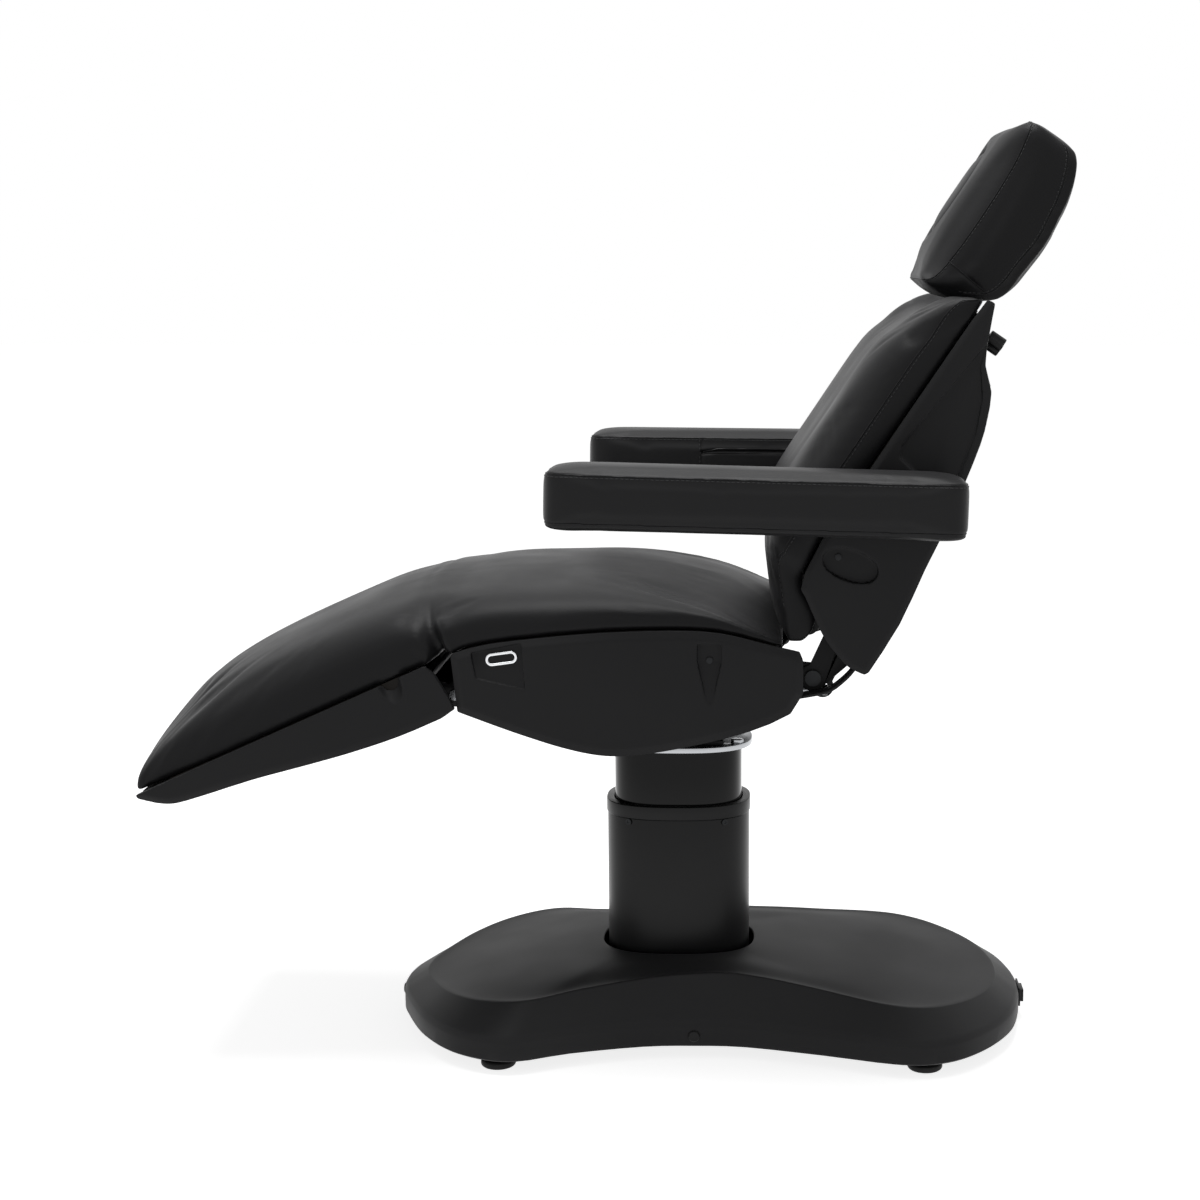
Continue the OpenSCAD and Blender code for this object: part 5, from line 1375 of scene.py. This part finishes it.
@dataclass
class Base:
    """The moulded base: a waisted cover with an upright rim, on a floor plate with four feet."""

    book: Book
    front: float = -351.0
    length: float = 1006.0
    width: float = 570.0
    height: float = 132.0
    clear: float = 22.0
    rim: float = 55.0
    wall: float = 5.0
    edge: float = 6.0
    crest_in: float = 42.0
    crest_share: float = 0.965
    dome: float = 5.0
    column_x: float = 100.0
    hole: Pair = (245.0, 192.0)
    power: float = 2.6
    plan: Sequence[Pair] = (
        (0, 0), (0.002, 0.1), (0.014, 0.27), (0.058, 0.63), (0.12, 0.89), (0.2, 1), (0.289, 0.87),
        (0.4, 0.76),
        (0.48, 0.74), (0.56, 0.755), (0.68, 0.87), (0.8, 1), (0.87, 0.96), (0.93, 0.77),
        (0.975, 0.5), (0.996, 0.2), (1, 0),
    )
    crests: Sequence[Pair] = ((0, 0.57), (0.1, 0.68), (0.22, 0.78), (0.48, 0.95), (0.6, 0.93),
        (0.8, 0.75), (1, 0.6))

    def outline(self, inset: float, share: float, z: float) -> np.ndarray:
        """Gives a closed ring of the plan at a height, or at a drop from the plateau's edge."""
        half = spline(self.plan, 7)
        crests = spline(self.crests, 6)
        rows = []
        for side, part in ((-1, half[:-1]), (1, half[:0:-1])):
            for s, w in part:
                high = z if z > 0 else float(np.interp(s, crests[:, 0],
                    crests[:, 1])) * self.height + z
                rows.append((self.front + inset + s * (self.length - 2 * inset),
                    side * w * share * (self.width / 2 - inset), high))
        return np.array(rows)

    def mouth(self, ring: np.ndarray, z: float) -> np.ndarray:
        """Gives the ring of the column's hole, in the directions of another ring's points."""
        l, w = self.hole
        a = np.arctan2(ring[:, 1] / w, (ring[:, 0] - self.column_x) / l)
        c, s = np.cos(a), np.sin(a)
        x = np.sign(c) * np.abs(c) ** (2 / self.power) * l / 2 + self.column_x
        y = np.sign(s) * np.abs(s) ** (2 / self.power) * w / 2
        return np.stack([x, y, np.full(len(ring), z)], axis=1)

    def cover(self) -> bpy.types.Object:
        """Models the cover as a skin from the foot over the rim and the plateau to the column."""
        rim, crest = self.outline(0, 1, self.rim), self.outline(self.crest_in, self.crest_share, -1)
        mouth = self.mouth(crest, self.height)

        def between(a: np.ndarray, b: np.ndarray, t: float, rise: float) -> np.ndarray:
            """Gives a ring on the way from one ring to another."""
            return a + (b - a) * t + np.array((0, 0, rise))

        wall = [
            self.outline(self.wall, 1, self.clear),
            self.outline(self.edge / 2, 1, self.clear),
            self.outline(0, 1, self.clear + self.edge / 2),
            self.outline(0, 1, self.rim - self.edge),
            self.outline(0.6, 1, self.rim - 2),
            self.outline(2.4, 1, self.rim),
        ]
        top = [
            between(rim, crest, 0.08, 0.6),
            between(rim, crest, 0.5, self.dome / 2),
            between(rim, crest, 0.86, self.dome * 0.95),
            between(rim, crest, 0.97, self.dome * 0.85),
            between(crest, mouth, 0.05, self.dome / 2),
            between(crest, mouth, 0.16, self.dome / 2),
            between(crest, mouth, 0.5, self.dome),
            between(crest, mouth, 0.94, 1.5),
            self.mouth(crest, self.height - 1),
        ]
        flat = spline([ring.ravel() for ring in top], 4).reshape(-1, len(rim), 3)
        inner = [
            self.mouth(crest, self.height - self.wall),
            self.outline(self.crest_in, self.crest_share, -self.wall - 1),
            self.outline(self.wall, 1, self.rim - self.wall / 2),
            wall[0],
        ]
        rings = [[Vector(p) * MM for p in ring] for ring in [*wall, *flat, *inner]]
        piece = wrapped_grid("base_cover_made", rings, caps=False)
        smooth(piece, 48)
        return piece

    def build(self) -> None:
        """Builds the base."""
        self.book.dress(self.cover(), "base_cover", BASE_PLASTIC)
        self.book.rounded_copy("levelling_feet", RUBBER, 1.5)
        self.book.rounded_copy("cover_caps", TRIM_PLASTIC, 1.0)
        self.book.rounded_copy("power_inlet", TRIM_PLASTIC, 0.8)
        self.book.coat("base_plate", FRAME_COAT)
        self.book.coat("control_box", MOTOR_COAT)


@dataclass
class Column:
    """The lifting column: a coated casing, a glossy inner tube and its zinc-plated flange."""

    book: Book

    def build(self) -> None:
        """Builds the column."""
        self.book.rounded_copy("column_casing", CASING_COAT, 0.8)
        self.book.rounded_copy("casing_collar", CASING_COAT, 1.5)
        self.book.rounded_copy("inner_column", GLOSS_COLUMN, 0.8)
        self.book.rounded_copy("column_flange", ZINC, 2.0)
        self.book.rounded_copy("flange_bolts", ROD_STEEL, 0.6)
        self.book.rounded_copy("collar_screws", DARK_STEEL, 0.4)
        for node, finish in (("column_guides", NYLON), ("lift_actuator", MOTOR_COAT),
                ("lift_rod", ROD_STEEL)):
            self.book.coat(node, finish)
        self.book.rounded_copy("tilt_bracket", FRAME_COAT, 1.2)


@dataclass
class Moulding:
    """A thick moulding whose outer rim is chamfered and rounded, and its recesses only eased."""

    book: Book
    node: str
    voxel_mm: float = 2.0
    passes: int = 22
    face: float = 303.0
    through: float = 13.0
    reach: float = 15.0
    facet: Pair = (11.0, 0.55)
    shaped_depth: float = 40.0
    first_passes: int = 3
    shade_above: float = 50.0

    def outline(self, piece: bpy.types.Object) -> KDTree:
        """Finds the moulding's outer edges, as seen from the side.

        Args:
            piece: The moulding as packed.

        Returns:
            A search tree of dots along those edges, flat on the middle plane.
        """
        mesh = bmesh.new()
        mesh.from_mesh(piece.data)
        dots = []
        for edge in mesh.edges:
            ys = [abs(v.co.y) / MM for v in edge.verts]
            if max(abs(y - self.face) for y in
                    ys) > 0.5 or edge.calc_face_angle(0.0) < math.radians(25):
                continue
            faces = [[v.co.y / MM for v in f.verts] for f in edge.link_faces]
            crossing = any(min(f) < 0 < max(f) for f in faces)
            if crossing or max(self.face - abs(y) for f in faces for y in f) > self.through:
                dots += resampled([Vector((v.co.x, 0, v.co.z)) for v in edge.verts], 0.003)
        mesh.free()
        tree = KDTree(len(dots))
        for i, dot in enumerate(dots):
            tree.insert(dot, i)
        tree.balance()
        return tree

    def build(self, shape: Callable[[bpy.types.Object], None] | None = None) -> bpy.types.Object:
        """Builds the moulding.

        Args:
            shape: A further shaping of the copy before its edges are rounded.

        Returns:
            The finished piece.
        """
        piece = copy_of(self.book.nodes[self.node], f"{self.node}_made", False)
        tree = self.outline(piece)
        if shape is not None:
            shape(piece)
        activate(piece)
        piece.data.remesh_voxel_size = self.voxel_mm * MM
        piece.data.use_remesh_fix_poles = False
        bpy.ops.object.voxel_remesh()
        modify(piece, "SMOOTH", {"factor": 0.5, "iterations": self.first_passes})
        rim = piece.vertex_groups.new(name="rim")
        co = places_of(piece)
        wide, steep = self.facet
        for i, p in enumerate(co):
            if abs(p[1]) / MM < self.face - self.shaped_depth:
                continue
            away = tree.find(Vector((p[0], 0, p[2])))[2] / MM
            if away < self.reach:
                rim.add([i], 1 - (away / self.reach) ** 2, "REPLACE")
            most = (self.face - max(0.0, wide - away) * steep) * MM
            p[1] = math.copysign(min(abs(p[1]), most), p[1])
        set_places(piece, co)
        modify(piece, "SMOOTH", {"factor": 0.5, "iterations": self.passes, "vertex_group": "rim"})
        piece.vertex_groups.clear()
        smooth(piece, self.shade_above)
        return self.book.dress(piece, self.node, PANEL_PLASTIC)


@dataclass
class SeatShell:
    """The seat's side panels and covers, with the chrome release handles."""

    book: Book
    recesses: Sequence[tuple[float, float, float]] = ((292.0, 640.0, 299.5), (294.0, 605.0, 301.5))

    def slope_floors(self, piece: bpy.types.Object) -> None:
        """Slopes the recesses' floors, deep under their upper edges and nearly flush at their lower ones."""
        for v in piece.data.vertices:
            for floor, below, shallow in self.recesses:
                if abs(abs(v.co.y) / MM - floor) < 0.3 and v.co.z / MM < below:
                    v.co.y = math.copysign(shallow * MM, v.co.y)

    def build(self) -> None:
        """Builds the seat's shell."""
        for side in ("near", "far"):
            Moulding(self.book, f"seat_panel_{side}", passes=8).build(self.slope_floors)
            self.book.rounded_copy(f"release_lever_{side}", CHROME, 2.1, 4, 50)
        for node in ("bottom_cover", "pivot_guards"):
            self.book.rounded_copy(node, PANEL_PLASTIC, 1.2, 2, 40)
        self.book.rounded_copy("seat_panel_screws", DARK_STEEL, 0.4)
        self.book.rounded_copy("seat_frame", FRAME_COAT, 1.0, 2)
        for node, finish in (("seat_board", PLYWOOD), ("tilt_pin", ROD_STEEL),
                ("back_pivot_pins", DARK_STEEL), ("leg_hinge_pins", ROD_STEEL)):
            self.book.coat(node, finish)


@dataclass
class LegShell:
    """The leg rest's moulded tray with its frame and board."""

    book: Book
    blunt: float = 8.0

    def blunt_tip(self, piece: bpy.types.Object) -> None:
        """Blunts the thin lip at the tray's tip."""
        leg = metres(FRAMES.leg())
        back = leg.inverted()
        local = [back @ v.co for v in piece.data.vertices]
        end = min(p.x for p in local) + self.blunt * MM
        for v, p in zip(piece.data.vertices, local):
            if p.x < end:
                v.co = leg @ Vector((end, p.y, p.z))

    def build(self) -> None:
        """Builds the leg rest's shell."""
        Moulding(self.book, "leg_tray", 3.0, 4, facet=(9.0, 0.6)).build(self.blunt_tip)
        self.book.rounded_copy("leg_screws", DARK_STEEL, 0.4)
        self.book.rounded_copy("leg_frame", FRAME_COAT, 1.0, 2)
        self.book.coat("leg_board", PLYWOOD)


@dataclass
class BackShell:
    """The back's side panels, whose rear parts lean in behind a crease, and its rear shell."""

    book: Book
    crease: Sequence[Pair] = ((345.0, 33.0), (555.0, 77.0))
    lean: float = 0.16
    run_in: Pair = (300.0, 350.0)

    def lean_in(self, piece: bpy.types.Object) -> None:
        """Folds a side panel inwards behind the crease."""
        frame = metres(FRAMES.back())
        (v0, m0), (v1, m1) = self.crease
        across = Vector((-(m1 - m0), 0, v1 - v0)).normalized()
        turned = frame.to_3x3()
        mesh = bmesh.new()
        mesh.from_mesh(piece.data)
        cuts = [((v0, m0), across)] + [((v, 0), Vector((1, 0, 0))) for v in self.run_in]
        for (v, m), normal in cuts:
            bmesh.ops.bisect_plane(
                mesh, geom=[*mesh.verts, *mesh.edges, *mesh.faces],
                plane_co=frame @ (Vector((v, 0, m)) * MM), plane_no=turned @ normal
            )
        back = frame.inverted()
        low, high = self.run_in
        for vert in mesh.verts:
            local = (back @ vert.co) / MM
            depth = -(Vector((local.x - v0, 0, local.z - m0)).dot(across))
            if abs(local.y) > 295 and depth > 0:
                share = min(1.0, max(0.0, (local.x - low) / (high - low)))
                vert.co.y -= math.copysign(min(12.0, depth * self.lean) * share * MM, vert.co.y)
        mesh.to_mesh(piece.data)
        mesh.free()

    def build(self) -> None:
        """Builds the back's shell."""
        for side in ("near", "far"):
            Moulding(self.book, f"back_panel_{side}", passes=6,
                facet=(7.0, 0.5)).build(self.lean_in)
        self.book.rounded_copy("back_shell", PANEL_PLASTIC, 1.2, 2, 40)
        self.book.rounded_copy("headrest_lock_knob", TRIM_PLASTIC, 1.5)
        self.book.rounded_copy("back_screws", DARK_STEEL, 0.4)
        self.book.rounded_copy("back_frame", FRAME_COAT, 1.0, 2)
        self.book.rounded_copy("headrest_bars", CHROME, 0.8, 2, 40)
        self.book.rounded_copy("headrest_guides", TRIM_PLASTIC, 1.0, 2)
        for node, finish in (("back_board", PLYWOOD), ("stay_rods", CHROME),
                ("headrest_plate", FRAME_COAT), ("headrest_pin", ROD_STEEL)):
            self.book.coat(node, finish)


@dataclass
class ArmIron:
    """The bushes and brackets that carry the arm pads."""

    book: Book

    def build(self) -> None:
        """Builds the arms' ironwork."""
        for node in ("arm_bushes", "arm_bracket_near", "arm_bracket_far"):
            self.book.rounded_copy(node, DARK_STEEL, 1.0)


@dataclass
class Drives:
    """The leg's and the back's actuators with their push rods."""

    book: Book

    def build(self) -> None:
        """Builds the drives."""
        for node in ("leg_actuator", "back_actuator"):
            self.book.rounded_copy(node, MOTOR_COAT, 1.2)
        for node in ("leg_rod", "back_rod"):
            self.book.coat(node, ROD_STEEL)


@dataclass
class Upholstery:
    """All the padded pieces, cut, stuffed together and dressed."""

    def build(self) -> None:
        """Builds the upholstery."""
        makers = [
            LoungeCushion(),
            BackCushion(),
            Headrest(),
            Armrest(-1, 1.5, "arm_near", "arm_pad_near"),
            Armrest(1, 0.5, "arm_far", "arm_pad_far"),
        ]
        forms = [maker.build() for maker in makers]
        stuff(forms)
        for maker, form in zip(makers, forms):
            maker.dress(form)


# ---------------------------------------------------------------- the studio


@dataclass(frozen=True)
class Studio:
    """The photographer's white floor and surround, the soft light above, and the camera."""

    floor_shade: str = "e4e4e4"
    floor_lift: float = 0.82
    ambient: float = 0.24
    key_watts: float = 118.0
    key_size: float = 2.6
    key_place: tuple[float, float, float] = (-0.2, 0.1, 4.2)
    camera_place: tuple[float, float, float] = (0.25414, -3.2975, 1.21496)
    camera_turn: tuple[float, float, float] = (80.957, 0.0, 1.2)
    lens_mm: float = 62.58
    sensor_mm: float = 36.0
    sight: float = 200.0
    floor_size: float = 60.0
    shift_x: float = -0.1092

    def seen(self, tree: bpy.types.NodeTree) -> bpy.types.NodeSocket:
        """Gives 1 where the camera looks straight, or by way of gloss or glass."""
        path = add_node(tree, "ShaderNodeLightPath")
        both = add_node(tree, "ShaderNodeMath", {"operation": "MAXIMUM"},
            {0: path.outputs["Is Camera Ray"], 1: path.outputs["Is Glossy Ray"]})
        return add_node(tree, "ShaderNodeMath", {"operation": "MAXIMUM"},
            {0: both.outputs[0], 1: path.outputs["Is Transmission Ray"]}).outputs[0]

    def world(self) -> None:
        """Makes the surround: white to look at, and a plain fill light."""
        world = bpy.data.worlds.new("white_surround")
        world.use_nodes = True
        tree = world.node_tree
        tree.nodes.clear()
        strength = add_node(tree, "ShaderNodeMapRange", None,
            {"Value": self.seen(tree), "To Min": self.ambient, "To Max": 1.0})
        white = add_node(tree, "ShaderNodeBackground", None,
            {"Color": (1, 1, 1, 1), "Strength": strength.outputs["Result"]})
        add_node(tree, "ShaderNodeOutputWorld", None, {"Surface": white.outputs[0]})
        bpy.context.scene.world = world

    def floor(self) -> None:
        """Lays a wide pale floor that keeps the chair's shadow."""
        deselect()
        bpy.ops.mesh.primitive_plane_add(size=self.floor_size)
        floor = named("studio_floor")
        made = bpy.data.materials.new("studio_floor_paint")
        made.use_nodes = True
        tree = made.node_tree
        tree.nodes.clear()
        paint = add_node(tree, "ShaderNodeBsdfDiffuse", None, {"Color": linear(self.floor_shade)})
        lift = add_node(tree, "ShaderNodeMath", {"operation": "MULTIPLY"},
            {0: self.seen(tree), 1: self.floor_lift})
        glow = add_node(tree, "ShaderNodeEmission", None,
            {"Color": (1, 1, 1, 1), "Strength": lift.outputs[0]})
        both = add_node(tree, "ShaderNodeAddShader", None,
            {0: paint.outputs[0], 1: glow.outputs[0]})
        add_node(tree, "ShaderNodeOutputMaterial", None, {"Surface": both.outputs[0]})
        floor.data.materials.append(made)

    def light(self) -> None:
        """Hangs the soft box over the chair."""
        deselect()
        bpy.ops.object.light_add(type="AREA", location=self.key_place)
        key = bpy.context.object
        key.name = "soft_box"
        key.data.energy = self.key_watts
        key.data.shape = "SQUARE"
        key.data.size = self.key_size
        key.visible_camera = False

    def camera(self) -> None:
        """Sets the camera where the photograph was taken."""
        data = bpy.data.cameras.new("photo_camera")
        camera = bpy.data.objects.new("photo_camera", data)
        bpy.context.scene.collection.objects.link(camera)
        camera.location = self.camera_place
        camera.rotation_euler = [math.radians(a) for a in self.camera_turn]
        data.sensor_width, data.lens, data.shift_x = self.sensor_mm, self.lens_mm, self.shift_x
        data.clip_end = self.sight
        bpy.context.scene.camera = camera

    def build(self) -> None:
        """Builds the studio."""
        bpy.context.scene.view_settings.view_transform = "Standard"
        self.world()
        self.floor()
        self.light()
        self.camera()


def main() -> None:
    """Builds the chair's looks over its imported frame."""
    logging.basicConfig(level=logging.INFO, format="%(message)s")
    for old in list(bpy.data.objects):
        bpy.data.objects.remove(old)
    book = Book.of(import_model())
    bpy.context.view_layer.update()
    for part in (Base(book), Column(book), SeatShell(book), LegShell(book), BackShell(book),
            ArmIron(book), Drives(book), Upholstery(), Studio()):
        part.build()


if __name__ == "__main__":
    main()
